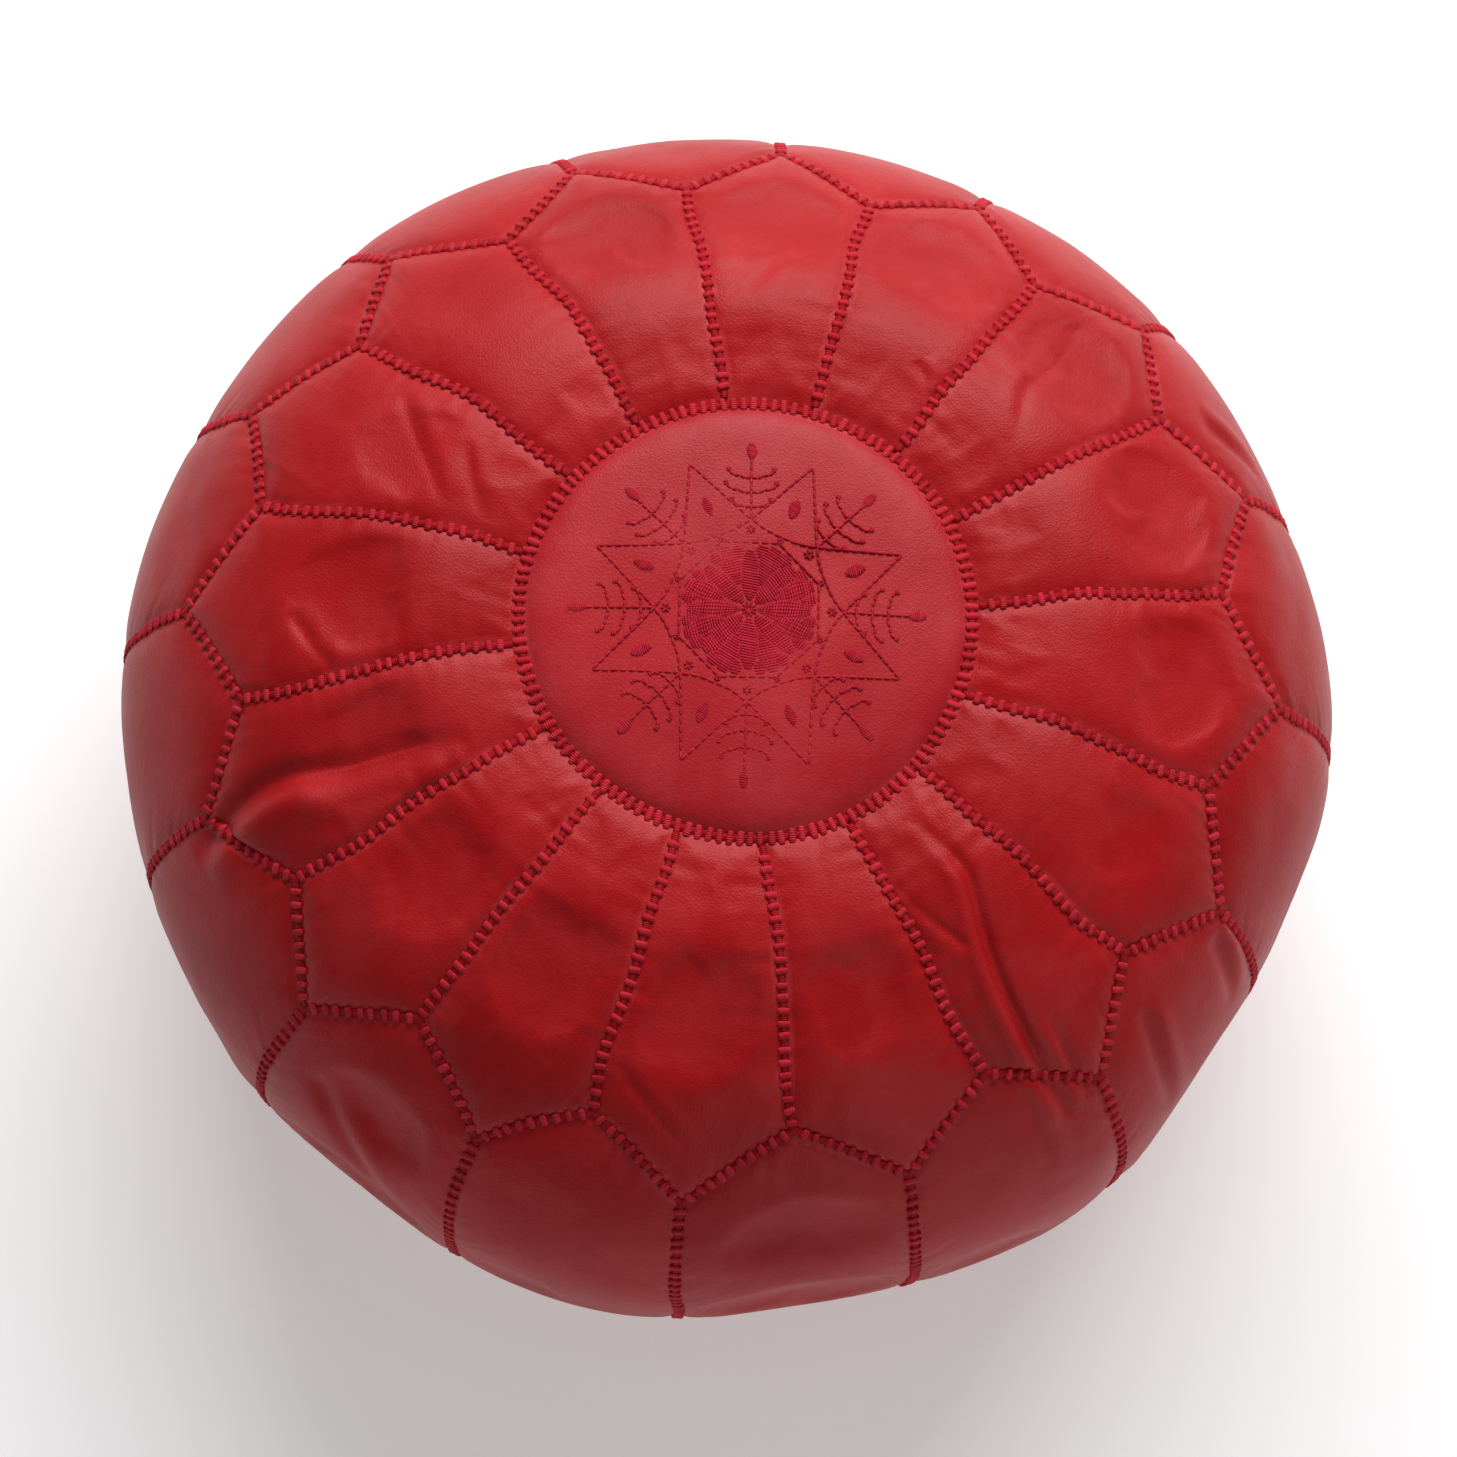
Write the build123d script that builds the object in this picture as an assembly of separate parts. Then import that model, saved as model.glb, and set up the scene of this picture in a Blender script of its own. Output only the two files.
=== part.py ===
from build123d import *
import math
import os

# A round Moroccan leather pouf, standing on the floor plane z = 0 with the middle of its
# underside at the origin. Sixteen top petals ring an embroidered medallion, sixteen side
# panels run from the zigzag seam round the widest point and under, and a base disc holds
# a zip. Every seam is bound with thick thread. A liner bag inside holds the stuffing.

# Overall size
RADIUS = 270.0
HEIGHT = 310.0
PETALS = 16
FIRST_SEAM_ANGLE = 9.3
PETAL_ANGLE = 360.0 / PETALS

# Side profile: a superellipse, drawn down under the medallion and pressed flat below
PROFILE_POWER = 2.5
DIMPLE_DEPTH = 12.0
DIMPLE_FLAT_RADIUS = 92.0
DIMPLE_END_RADIUS = 150.0
FLOOR_SAG = 22.0
HALF_PROFILE = (HEIGHT + DIMPLE_DEPTH + FLOOR_SAG) / 2
WAIST_HEIGHT = HALF_PROFILE - FLOOR_SAG

# Leather and thread
LEATHER = 2.0
SEAM_HALF_WIDTH = 2.5
THREAD_RISE = 0.6
RING_CLEARANCE = 0.2

# Where the seams lie, seen from above
MEDALLION_RADIUS = 92.5
PETAL_INNER_RADIUS = 101.0
VALLEY_RADIUS = 213.0
TIP_RADIUS = 240.0

# Underside: a flat ring on the floor round a base disc that is drawn up clear of it
FLAT_OUTER_RADIUS = 160.0
FLAT_INNER_RADIUS = 146.0
BASE_SEAM_RADIUS = 130.0
BASE_RECESS = 9.0
BASE_DISC_RADIUS = BASE_SEAM_RADIUS - SEAM_HALF_WIDTH
PANEL_INNER_RADIUS = BASE_SEAM_RADIUS + SEAM_HALF_WIDTH

# Liner bag and stuffing
LINER = 0.8
LINER_GAP = 2.5
LINER_LIFT = 6.5
STUFFING_GAP = 1.0

# Zip, along X through the middle of the base disc, closed end at +X
ZIP_HALF_LENGTH = 108.0
ZIP_SLOT_HALF_WIDTH = 7.5
ZIP_SLOT_MARGIN = 6.0
TAPE_THICKNESS = 0.6
TAPE_OUTER_Y = 15.0
TOOTH_PITCH = 3.0
TOOTH_LENGTH = 1.2
TOOTH_REACH = 0.5
TOOTH_ROOT_Y = 3.2
TOOTH_HEIGHT = 2.8
TOOTH_CORNER = 0.4
STOP_LENGTH = 2.5
STOP_INNER_Y = 0.3

# Slider and pull
SLIDER_LENGTH = 12.0
SLIDER_HALF_WIDTH = 5.0
SLIDER_RAIL = 0.9
WING_THICKNESS = 1.4
WING_CLEARANCE = 0.45
WING_CORNER = 1.6
RAIL_SETBACK = 1.8
RAIL_CLEARANCE = 0.4
STOP_GAP = 2.0
DIVIDER_LENGTH = 2.2
DIVIDER_HALF_WIDTH = 1.6
EAR_THICKNESS = 1.0
EAR_INNER_Y = 2.0
EAR_RADIUS = 1.5
PIN_RADIUS = 0.7
PIN_DROP = 1.9
PULL_LENGTH = 24.0
PULL_HALF_WIDTH = 4.0
PULL_CORNER = 2.2
PULL_HOLE_RADIUS = 1.6
PULL_HOLE_INSET = 5.0
PULL_NECK_LENGTH = 6.0
PULL_NECK_HALF_WIDTH = 1.75
PULL_THICKNESS = 1.4
PULL_EYE_RADIUS = 1.5
PULL_BORE_RADIUS = 0.8

TAPE_FLOOR = BASE_RECESS + LEATHER
TOOTH_MIDDLE = TAPE_FLOOR + TAPE_THICKNESS / 2
SLIDER_CENTRE_X = ZIP_HALF_LENGTH - STOP_LENGTH - STOP_GAP - SLIDER_LENGTH / 2
PIN_HEIGHT = TOOTH_MIDDLE - TOOTH_HEIGHT / 2 - WING_CLEARANCE - WING_THICKNESS - PIN_DROP


# ---------------------------------------------------------------- profile

def dimple(radius):
    """How far the top is drawn down at a radius."""
    span = DIMPLE_END_RADIUS - DIMPLE_FLAT_RADIUS
    share = min(max((radius - DIMPLE_FLAT_RADIUS) / span, 0.0), 1.0)
    return DIMPLE_DEPTH * 0.5 * (1 + math.cos(math.pi * share))


def wall_point(turn, inset):
    """A point on the side profile: turn 0 is the widest point and 90 the top centre."""
    across = abs(math.cos(math.radians(turn))) ** (2 / PROFILE_POWER)
    up = abs(math.sin(math.radians(turn))) ** (2 / PROFILE_POWER)
    radius = (RADIUS - inset) * across
    if turn < 0:
        return (radius, 0, WAIST_HEIGHT - (HALF_PROFILE - inset) * up)
    return (radius, 0, WAIST_HEIGHT + (HALF_PROFILE - inset) * up - dimple(radius))


def top_point(radius, inset):
    """The point of the upper profile at a radius."""
    across = radius / (RADIUS - inset)
    up = (1 - across ** PROFILE_POWER) ** (1 / PROFILE_POWER)
    return (radius, 0, WAIST_HEIGHT + (HALF_PROFILE - inset) * up - dimple(radius))


def inward_slope(radius, inset):
    """The direction of the upper profile at a radius, towards the axis."""
    if radius == 0:
        return (-1, 0, 0)
    here = top_point(radius, inset)
    outside = top_point(radius + 0.5, inset)
    return (here[0] - outside[0], 0, here[2] - outside[2])


def side_curve(inset, end_radius):
    """From the edge of the flat ring, round the widest point, to a radius on top."""
    first_turn = -46.0
    last_turn = math.degrees(math.acos((end_radius / (RADIUS - inset)) ** (PROFILE_POWER / 2)))
    steps = 15
    turns = [first_turn + (last_turn - first_turn) * i / steps for i in range(steps)]
    points = [(FLAT_OUTER_RADIUS, 0, inset)]
    points += [wall_point(turn, inset) for turn in turns]
    points += [top_point(end_radius, inset)]
    return Spline(*points, tangents=[(1, 0, 0), inward_slope(end_radius, inset)])


def recess_curve(inset, height):
    """From the base disc's edge, drawn up to a height, down to the flat ring."""
    start = (PANEL_INNER_RADIUS, 0, height)
    end = (FLAT_INNER_RADIUS, 0, inset)
    return Spline(start, end, tangents=[(1, 0, 0), (1, 0, 0)])


def wall_outline(inset, end_radius, base_height):
    """The open outline of one surface of the wall, from the base disc to the top."""
    flat = Line((FLAT_INNER_RADIUS, 0, inset), (FLAT_OUTER_RADIUS, 0, inset))
    return [recess_curve(inset, base_height), flat, side_curve(inset, end_radius)]


def wall_face(outer_inset, inner_inset):
    """The cut face of the wall between two surfaces, base disc to medallion seam."""
    outer = wall_outline(outer_inset, PETAL_INNER_RADIUS, BASE_RECESS + outer_inset)
    inner = wall_outline(inner_inset, PETAL_INNER_RADIUS, BASE_RECESS + inner_inset)
    top = Line(outer[-1] @ 1, inner[-1] @ 1)
    bottom = Line(outer[0] @ 0, inner[0] @ 0)
    return make_face(outer + inner + [top, bottom])


def turn_about_z(shape, angle):
    return Rot(0, 0, angle) * shape


def sector(face, half_angle):
    """The face revolved through an angle, with its middle on +X."""
    return revolve(turn_about_z(face, -half_angle), Axis.Z, 2 * half_angle)


# ---------------------------------------------------------------- seam outlines

def plan_point(radius, angle):
    return (radius * math.cos(math.radians(angle)), radius * math.sin(math.radians(angle)))


def zigzag_face(widen):
    """The area inside the zigzag seam, as one tooth of it is seen round +X, widened."""
    half = PETAL_ANGLE / 2
    corners = []
    for i in range(PETALS):
        corners.append(plan_point(VALLEY_RADIUS, PETAL_ANGLE * i - half))
        corners.append(plan_point(TIP_RADIUS, PETAL_ANGLE * i))
    area = make_face(Polyline(*corners, close=True))
    return offset(area, amount=widen, kind=Kind.INTERSECTION) if widen else area


def column(area, bottom):
    """A flat area as an upright column that reaches past the top of the pouf."""
    return Pos(0, 0, bottom) * extrude(area, amount=HEIGHT, dir=(0, 0, 1))


def seam_slab(angle, half_width, inner_radius, outer_radius):
    """An upright slab along one radial seam."""
    length = outer_radius - inner_radius
    slab = Pos(inner_radius + length / 2, 0, HEIGHT / 2) * Box(length, 2 * half_width, 2 * HEIGHT)
    return turn_about_z(slab, angle)


# ---------------------------------------------------------------- leather

def top_petal():
    """One petal, with its middle on +X, between its seams."""
    half = PETAL_ANGLE / 2
    blank = sector(wall_face(0, LEATHER), half)
    inside = blank & column(zigzag_face(-SEAM_HALF_WIDTH), WAIST_HEIGHT)
    for side in (-half, half):
        inside -= seam_slab(side, SEAM_HALF_WIDTH, 0, RADIUS)
    return inside


def side_panel():
    """One side panel, with its middle on +X, under the valley of the zigzag seam."""
    half = PETAL_ANGLE / 2
    blank = sector(wall_face(0, LEATHER), half)
    inside = turn_about_z(column(zigzag_face(SEAM_HALF_WIDTH), WAIST_HEIGHT), half)
    blank -= inside
    for side in (-half, half):
        blank -= seam_slab(side, SEAM_HALF_WIDTH, 0, 2 * RADIUS)
    return blank


def crown_cap(outer_inset, inner_inset, radius):
    """A round cap of the top wall out to a radius."""
    curves = []
    for inset in (outer_inset, inner_inset):
        points = [top_point(radius * (1 - i / 4), inset) for i in range(5)]
        curves.append(Spline(*points, tangents=[inward_slope(radius, inset), (-1, 0, 0)]))
    outer, inner = curves
    rim = Line(outer @ 0, inner @ 0)
    axis = Line(outer @ 1, inner @ 1)
    return revolve(make_face([outer, inner, rim, axis]), Axis.Z, 360)


def base_half():
    """Half of the base disc on the +Y side, with the zip's slot cut from its edge."""
    disc = Pos(0, 0, BASE_RECESS + LEATHER / 2) * Cylinder(BASE_DISC_RADIUS, LEATHER)
    seam_gap = 0.2
    behind = Pos(0, -RADIUS + seam_gap, 0) * Box(2 * RADIUS, 2 * RADIUS, HEIGHT)
    slot_length = 2 * (ZIP_HALF_LENGTH + ZIP_SLOT_MARGIN)
    slot = Box(slot_length, 2 * ZIP_SLOT_HALF_WIDTH, HEIGHT)
    return disc - behind - slot


# ---------------------------------------------------------------- thread

def thread_wall():
    return wall_face(-THREAD_RISE, LEATHER)


def medallion_thread():
    """The ring of stitches round the medallion."""
    inner = MEDALLION_RADIUS + RING_CLEARANCE
    outer = PETAL_INNER_RADIUS - RING_CLEARANCE
    cap = crown_cap(-THREAD_RISE, LEATHER, outer)
    return cap - Pos(0, 0, HEIGHT) * Cylinder(inner, 2 * HEIGHT)


def petal_threads():
    """Sixteen radial seams, from the medallion's ring to the valleys of the zigzag."""
    blank = sector(thread_wall(), 2.0) & seam_slab(0, SEAM_HALF_WIDTH, 0, RADIUS)
    inside = turn_about_z(column(zigzag_face(-SEAM_HALF_WIDTH), WAIST_HEIGHT), PETAL_ANGLE / 2)
    one = blank & inside
    return [turn_about_z(one, seam_angle(i)) for i in range(PETALS)]


def zigzag_thread():
    """The closed zigzag seam between the petals and the side panels."""
    band = column(zigzag_face(SEAM_HALF_WIDTH), WAIST_HEIGHT)
    band -= column(zigzag_face(-SEAM_HALF_WIDTH), WAIST_HEIGHT)
    ring = revolve(thread_wall(), Axis.Z, 360) & band
    return turn_about_z(ring, seam_angle(0) + PETAL_ANGLE / 2)


def side_threads():
    """Sixteen seams down the side, from the tips of the zigzag to the base disc."""
    blank = sector(thread_wall(), 2.0) & seam_slab(0, SEAM_HALF_WIDTH, 0, 2 * RADIUS)
    blank &= Pos(0, 0, HEIGHT) * Box(4 * RADIUS, 4 * RADIUS, 2 * HEIGHT)
    blank -= column(zigzag_face(SEAM_HALF_WIDTH), WAIST_HEIGHT)
    blank -= Cylinder(PANEL_INNER_RADIUS + RING_CLEARANCE, HEIGHT)
    return [turn_about_z(blank, petal_angle(i)) for i in range(PETALS)]


def base_thread():
    """The ring of stitches round the base disc."""
    height = LEATHER + THREAD_RISE
    middle = BASE_RECESS + LEATHER - height / 2
    ring = Cylinder(PANEL_INNER_RADIUS - RING_CLEARANCE, height)
    ring -= Cylinder(BASE_DISC_RADIUS + RING_CLEARANCE, height)
    return Pos(0, 0, middle) * ring


def seam_angle(i):
    """The angle of radial seam i, counted anticlockwise from above."""
    return FIRST_SEAM_ANGLE + PETAL_ANGLE * i


def petal_angle(i):
    """The angle of the middle of petal i, between seams i and i + 1."""
    return seam_angle(i) + PETAL_ANGLE / 2


# ---------------------------------------------------------------- inside

def inner_outline(inset, base_height):
    """A closed outline inside the wall, from the axis at the base to the axis on top."""
    floor = Line((0, 0, base_height), (PANEL_INNER_RADIUS, 0, base_height))
    return [floor] + wall_outline(inset, 0, base_height)


def liner_bag():
    outer_inset = LEATHER + LINER_GAP
    base = TAPE_FLOOR + LINER_LIFT
    outer = inner_outline(outer_inset, base)
    inner = inner_outline(outer_inset + LINER, base + LINER)
    foot = Line(outer[0] @ 0, inner[0] @ 0)
    top = Line(outer[-1] @ 1, inner[-1] @ 1)
    return revolve(make_face(outer + inner + [foot, top]), Axis.Z, 360)


def stuffing():
    inset = LEATHER + LINER_GAP + LINER + STUFFING_GAP
    outline = inner_outline(inset, TAPE_FLOOR + LINER_LIFT + LINER + STUFFING_GAP)
    axis = Line(outline[0] @ 0, outline[-1] @ 1)
    return revolve(make_face(outline + [axis]), Axis.Z, 360)


# ---------------------------------------------------------------- zip

def block(x, y, z):
    """A box from its ranges along X, Y and Z."""
    size = [high - low for low, high in (x, y, z)]
    middle = [(high + low) / 2 for low, high in (x, y, z)]
    return Pos(*middle) * Box(*size)


def zip_tape():
    """The tape on the +Y side, lying inside the base leather."""
    half = ZIP_HALF_LENGTH + ZIP_SLOT_MARGIN / 2
    return block((-half, half), (TOOTH_ROOT_Y, TAPE_OUTER_Y),
                 (TAPE_FLOOR, TAPE_FLOOR + TAPE_THICKNESS))


def zip_teeth(side):
    """A row of brass teeth: side 1 is +Y, and the row on side -1 lies half a pitch further on."""
    first = -ZIP_HALF_LENGTH + STOP_LENGTH + TOOTH_PITCH / 4 * (2 - side)
    last = SLIDER_CENTRE_X + SLIDER_LENGTH / 2 - 2 * DIVIDER_LENGTH
    count = int((last - first) / TOOTH_PITCH) + 1
    low = TOOTH_MIDDLE - TOOTH_HEIGHT / 2
    y_range = sorted((-side * TOOTH_REACH, side * TOOTH_ROOT_Y))
    tooth = block((0, TOOTH_LENGTH), y_range, (low, low + TOOTH_HEIGHT))
    tooth = fillet(tooth.edges().filter_by(Axis.X), TOOTH_CORNER)
    return [Pos(first + TOOTH_PITCH * i, 0, 0) * tooth for i in range(count)]


def zip_stops(x_low):
    """A pair of small brass stops, one clamped in the edge of each tape."""
    low = TOOTH_MIDDLE - TOOTH_HEIGHT / 2
    z_range = (low, low + TOOTH_HEIGHT)
    x_range = (x_low, x_low + STOP_LENGTH)
    return [block(x_range, sorted((side * STOP_INNER_Y, side * TOOTH_ROOT_Y)), z_range)
            for side in (1, -1)]


def zip_slider():
    """Two wings joined by a divider, with side rails, and ears that hold the pull's pin."""
    back = SLIDER_CENTRE_X - SLIDER_LENGTH / 2
    front = SLIDER_CENTRE_X + SLIDER_LENGTH / 2
    tooth_low = TOOTH_MIDDLE - TOOTH_HEIGHT / 2 - WING_CLEARANCE
    tooth_high = TOOTH_MIDDLE + TOOTH_HEIGHT / 2 + WING_CLEARANCE
    body = None
    for low, high, rail_low, rail_high in (
            (tooth_low - WING_THICKNESS, tooth_low, tooth_low, TAPE_FLOOR - RAIL_CLEARANCE),
            (tooth_high, tooth_high + WING_THICKNESS,
             TAPE_FLOOR + TAPE_THICKNESS + RAIL_CLEARANCE, tooth_high)):
        wing = block((back, front), (-SLIDER_HALF_WIDTH, SLIDER_HALF_WIDTH), (low, high))
        wing = fillet(wing.edges().filter_by(Axis.Z), WING_CORNER)
        body = wing if body is None else body + wing
        for side in (1, -1):
            rail_y = sorted((side * (SLIDER_HALF_WIDTH - SLIDER_RAIL), side * SLIDER_HALF_WIDTH))
            body += block((back + RAIL_SETBACK, front - RAIL_SETBACK), rail_y,
                          (rail_low, rail_high))
    body += block((front - DIVIDER_LENGTH, front), (-DIVIDER_HALF_WIDTH, DIVIDER_HALF_WIDTH),
                  (tooth_low, tooth_high))
    wing_floor = tooth_low - WING_THICKNESS
    for side in (1, -1):
        middle_y = side * (EAR_INNER_Y + EAR_THICKNESS / 2)
        ear = Pos(SLIDER_CENTRE_X, middle_y, PIN_HEIGHT) * Rot(90, 0, 0) * Cylinder(
            EAR_RADIUS, EAR_THICKNESS)
        y_range = (middle_y - EAR_THICKNESS / 2, middle_y + EAR_THICKNESS / 2)
        ear += block((SLIDER_CENTRE_X - EAR_RADIUS, SLIDER_CENTRE_X + EAR_RADIUS), y_range,
                     (PIN_HEIGHT, wing_floor))
        body += ear
    pin = Rot(90, 0, 0) * Cylinder(PIN_RADIUS, 2 * EAR_INNER_Y + EAR_THICKNESS)
    return body + Pos(SLIDER_CENTRE_X, 0, PIN_HEIGHT) * pin


def zip_pull():
    """A flat tab on an eye that turns on the slider's pin, lying towards -X."""
    eye = Rot(90, 0, 0) * Cylinder(PULL_EYE_RADIUS, 2 * PULL_NECK_HALF_WIDTH)
    half = PULL_THICKNESS / 2
    neck = block((-PULL_NECK_LENGTH, 0), (-PULL_NECK_HALF_WIDTH, PULL_NECK_HALF_WIDTH), (-half, half))
    tab = block((-PULL_LENGTH, 1 - PULL_NECK_LENGTH), (-PULL_HALF_WIDTH, PULL_HALF_WIDTH),
                (-half, half))
    tab = fillet(tab.edges().filter_by(Axis.Z), PULL_CORNER)
    hole = Pos(PULL_HOLE_INSET - PULL_LENGTH, 0, 0) * Cylinder(PULL_HOLE_RADIUS, 4 * half)
    bore = Rot(90, 0, 0) * Cylinder(PULL_BORE_RADIUS, 4 * PULL_NECK_HALF_WIDTH)
    return Pos(SLIDER_CENTRE_X, 0, PIN_HEIGHT) * (eye + neck + tab - hole - bore)


# ---------------------------------------------------------------- the whole pouf

def mirror_y(shape):
    return mirror(shape, Plane.XZ)


def pieces():
    """Every node's name and its solids."""
    petal = top_petal()
    panel = side_panel()
    yield "medallion", crown_cap(0, LEATHER, MEDALLION_RADIUS)
    for i in range(PETALS):
        yield f"top_petal_{i + 1:02d}", turn_about_z(petal, petal_angle(i))
        yield f"side_panel_{i + 1:02d}", turn_about_z(panel, seam_angle(i))
    half = base_half()
    yield "base_disc_left", half
    yield "base_disc_right", mirror_y(half)
    yield "medallion_seam_thread", medallion_thread()
    yield "petal_seam_threads", petal_threads()
    yield "zigzag_seam_thread", zigzag_thread()
    yield "side_seam_threads", side_threads()
    yield "base_seam_thread", base_thread()
    yield "liner_bag", liner_bag()
    yield "stuffing", stuffing()
    tape = zip_tape()
    yield "zip_tape_left", tape
    yield "zip_tape_right", mirror_y(tape)
    yield "zip_teeth_left", zip_teeth(1)
    yield "zip_teeth_right", zip_teeth(-1)
    yield "zip_top_stops", zip_stops(ZIP_HALF_LENGTH - STOP_LENGTH)
    yield "zip_bottom_stops", zip_stops(-ZIP_HALF_LENGTH)
    yield "zip_slider", zip_slider()
    yield "zip_pull", zip_pull()


def main():
    os.makedirs("parts", exist_ok=True)
    for name, shape in pieces():
        solids = shape if isinstance(shape, list) else shape.solids()
        part = Compound(label=name, children=solids) if len(solids) > 1 else solids[0]
        part.label = name
        export_step(part, f"parts/{name}.step")


main()
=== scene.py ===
from math import acos, cos, pi, radians, sin, sqrt

import bpy
import numpy as np
from mathutils import Matrix, Vector
from numpy.linalg import norm


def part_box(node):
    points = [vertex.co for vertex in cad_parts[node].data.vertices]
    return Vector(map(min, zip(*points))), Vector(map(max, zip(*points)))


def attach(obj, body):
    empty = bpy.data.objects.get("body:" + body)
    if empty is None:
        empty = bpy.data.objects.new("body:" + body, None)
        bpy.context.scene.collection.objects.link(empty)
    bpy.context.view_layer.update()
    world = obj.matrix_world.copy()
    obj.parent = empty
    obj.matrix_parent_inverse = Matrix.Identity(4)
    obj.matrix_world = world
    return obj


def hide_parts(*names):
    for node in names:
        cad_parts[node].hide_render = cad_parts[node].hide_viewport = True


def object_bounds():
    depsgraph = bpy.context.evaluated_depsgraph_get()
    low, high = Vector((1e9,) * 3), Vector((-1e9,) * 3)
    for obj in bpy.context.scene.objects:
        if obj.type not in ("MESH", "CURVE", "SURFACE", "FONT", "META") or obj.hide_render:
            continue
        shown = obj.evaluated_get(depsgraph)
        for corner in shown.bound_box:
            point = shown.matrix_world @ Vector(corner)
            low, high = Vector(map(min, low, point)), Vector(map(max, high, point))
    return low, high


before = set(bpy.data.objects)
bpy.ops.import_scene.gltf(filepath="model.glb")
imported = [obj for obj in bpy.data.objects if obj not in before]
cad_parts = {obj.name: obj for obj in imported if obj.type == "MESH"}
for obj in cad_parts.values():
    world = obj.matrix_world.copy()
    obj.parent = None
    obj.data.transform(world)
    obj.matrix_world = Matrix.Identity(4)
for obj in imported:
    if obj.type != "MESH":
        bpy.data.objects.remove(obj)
cad_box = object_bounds()

# The pouf stands on z = 0 with the middle of its underside at the origin. A place on its
# cover is an angle about Z and a run: the distance along the wall from the middle of the
# top, over the edge and under to the middle of the base. A lift is the height above the
# wall at that place. Everything is in metres.

MM = 0.001
COUNT = 16
STEP = 2 * pi / COUNT
FIRST_SEAM = radians(9.3)
COVER = "cover"
FLOOR_GAP = 0.2 * MM

# The wall, as in the CAD model but for a dimple round the medallion that is 4 mm shallower
THREAD_RISE = 0.6 * MM
RADIUS = cad_box[1][0] - THREAD_RISE
HEIGHT = cad_box[1][2]
POWER = 2.5
DIMPLE_DEPTH = 8 * MM
DIMPLE_START = 92 * MM
DIMPLE_END = 150 * MM
FLOOR_SAG = 22 * MM
HALF_PROFILE = (HEIGHT + DIMPLE_DEPTH + FLOOR_SAG) / 2
WAIST = HALF_PROFILE - FLOOR_SAG
FLAT_OUTER = 160 * MM
FLAT_INNER = 146 * MM
BLEND_RADIUS = 200 * MM
RECESS_RIM = 2.5 * MM
SIDE_POINTS = 900
SLOPE_REACH = 1.5 * MM

# Seams, seen from above
MEDALLION_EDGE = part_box("medallion")[1].x
PETAL_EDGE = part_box("medallion_seam_thread")[1].x
RING_RADIUS = (MEDALLION_EDGE + PETAL_EDGE) / 2
VALLEY_RADIUS = 213 * MM
TIP_RADIUS = 240 * MM
BASE_RING_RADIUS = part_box("base_seam_thread")[1].x - 2.3 * MM
BASE_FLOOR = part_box("base_disc_left")[0].z

# How the leather meets at a seam
SEAM_DEPTH = 3.0 * MM
RING_DEPTH = 1.7 * MM
RING_REACH = 6.5 * MM
ROLL = 1.2 * MM
ROLL_TURNS = np.radians([26, 52, 78])
SEAM_GAP = 0.1 * MM
PANEL_INSET = ROLL + SEAM_GAP
ZIGZAG_INSET = 1.28 * PANEL_INSET
FLANGE = 5.0 * MM
LEATHER = 1.8 * MM

# Noise is a sum of waves, each with its own heading, their lengths spread by this share
WAVE_COUNT = 28
WAVE_SPREAD = 0.35
WAVE_SUM = sqrt(1.2 * WAVE_COUNT)

rng = np.random.default_rng(7)


# ---- noise and meshes

def join(*parts, axis=0):
    return np.concatenate(parts, axis)


def waves(points, wavelength, seed):
    """Smooth noise of about one wavelength, near -1 to 1, at an array of points."""
    source = np.random.default_rng(seed)
    heading = source.normal(size=(WAVE_COUNT, 3))
    heading /= norm(heading, axis=1, keepdims=True)
    lengths = wavelength * source.uniform(1 - WAVE_SPREAD, 1 + WAVE_SPREAD, WAVE_COUNT)
    phase = source.uniform(0, 2 * pi, WAVE_COUNT)
    across = (heading * (2 * pi / lengths)[:, None]).T
    return np.cos(points @ across + phase).sum(axis=-1) / WAVE_SUM


def smooth_step(value, low, high):
    share = np.clip((value - low) / (high - low), 0, 1)
    return share * share * (3 - 2 * share)


def unit(vectors):
    return vectors / np.maximum(norm(vectors, axis=-1, keepdims=True), 1e-12)


def round_points(angle, out, up):
    """Points or directions at an angle about Z, so far out and so far up."""
    return np.stack([out * np.cos(angle), out * np.sin(angle), up], axis=-1)


def push_out(grid, normals, height):
    return grid + unit(normals) * height[..., None]


def new_object(name, data):
    piece = bpy.data.objects.new(name, data)
    bpy.context.scene.collection.objects.link(piece)
    return piece


def make_mesh(name, points, polygons, fields=None):
    """A smooth mesh object from points and a list of (n, k) arrays of polygons."""
    mesh = bpy.data.meshes.new(name)
    mesh.vertices.add(len(points))
    mesh.vertices.foreach_set("co", np.asarray(points, np.float32).ravel())
    corners = join(*(p.ravel() for p in polygons)).astype(np.int32)
    sizes = join(*(np.full(len(p), p.shape[1]) for p in polygons))
    starts = join([0], np.cumsum(sizes)[:-1]).astype(np.int32)
    mesh.loops.add(len(corners))
    mesh.loops.foreach_set("vertex_index", corners)
    mesh.polygons.add(len(sizes))
    mesh.polygons.foreach_set("loop_start", starts)
    mesh.update(calc_edges=True)
    mesh.validate()
    mesh.shade_smooth()
    for field, values in (fields or {}).items():
        layer = mesh.attributes.new(field, "FLOAT", "POINT")
        layer.data.foreach_set("value", np.asarray(values, np.float32))
    return new_object(name, mesh)


def grid_quads(rows, columns, closed=False, first=0):
    """Quads of a grid stored row by row; closed joins its last column to its first."""
    index = np.arange(rows * columns).reshape(rows, columns) + first
    if closed:
        index = join(index, index[:, :1], axis=1)
    corners = (index[:-1, :-1], index[:-1, 1:], index[1:, 1:], index[1:, :-1])
    return np.stack([c.ravel() for c in corners], axis=1)


def rim_order(rows, columns):
    """The grid's border as one loop of point indices, in order."""
    index = np.arange(rows * columns).reshape(rows, columns)
    return join(index[0, :-1], index[:-1, -1], index[-1, :0:-1], index[:0:-1, 0])


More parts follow.
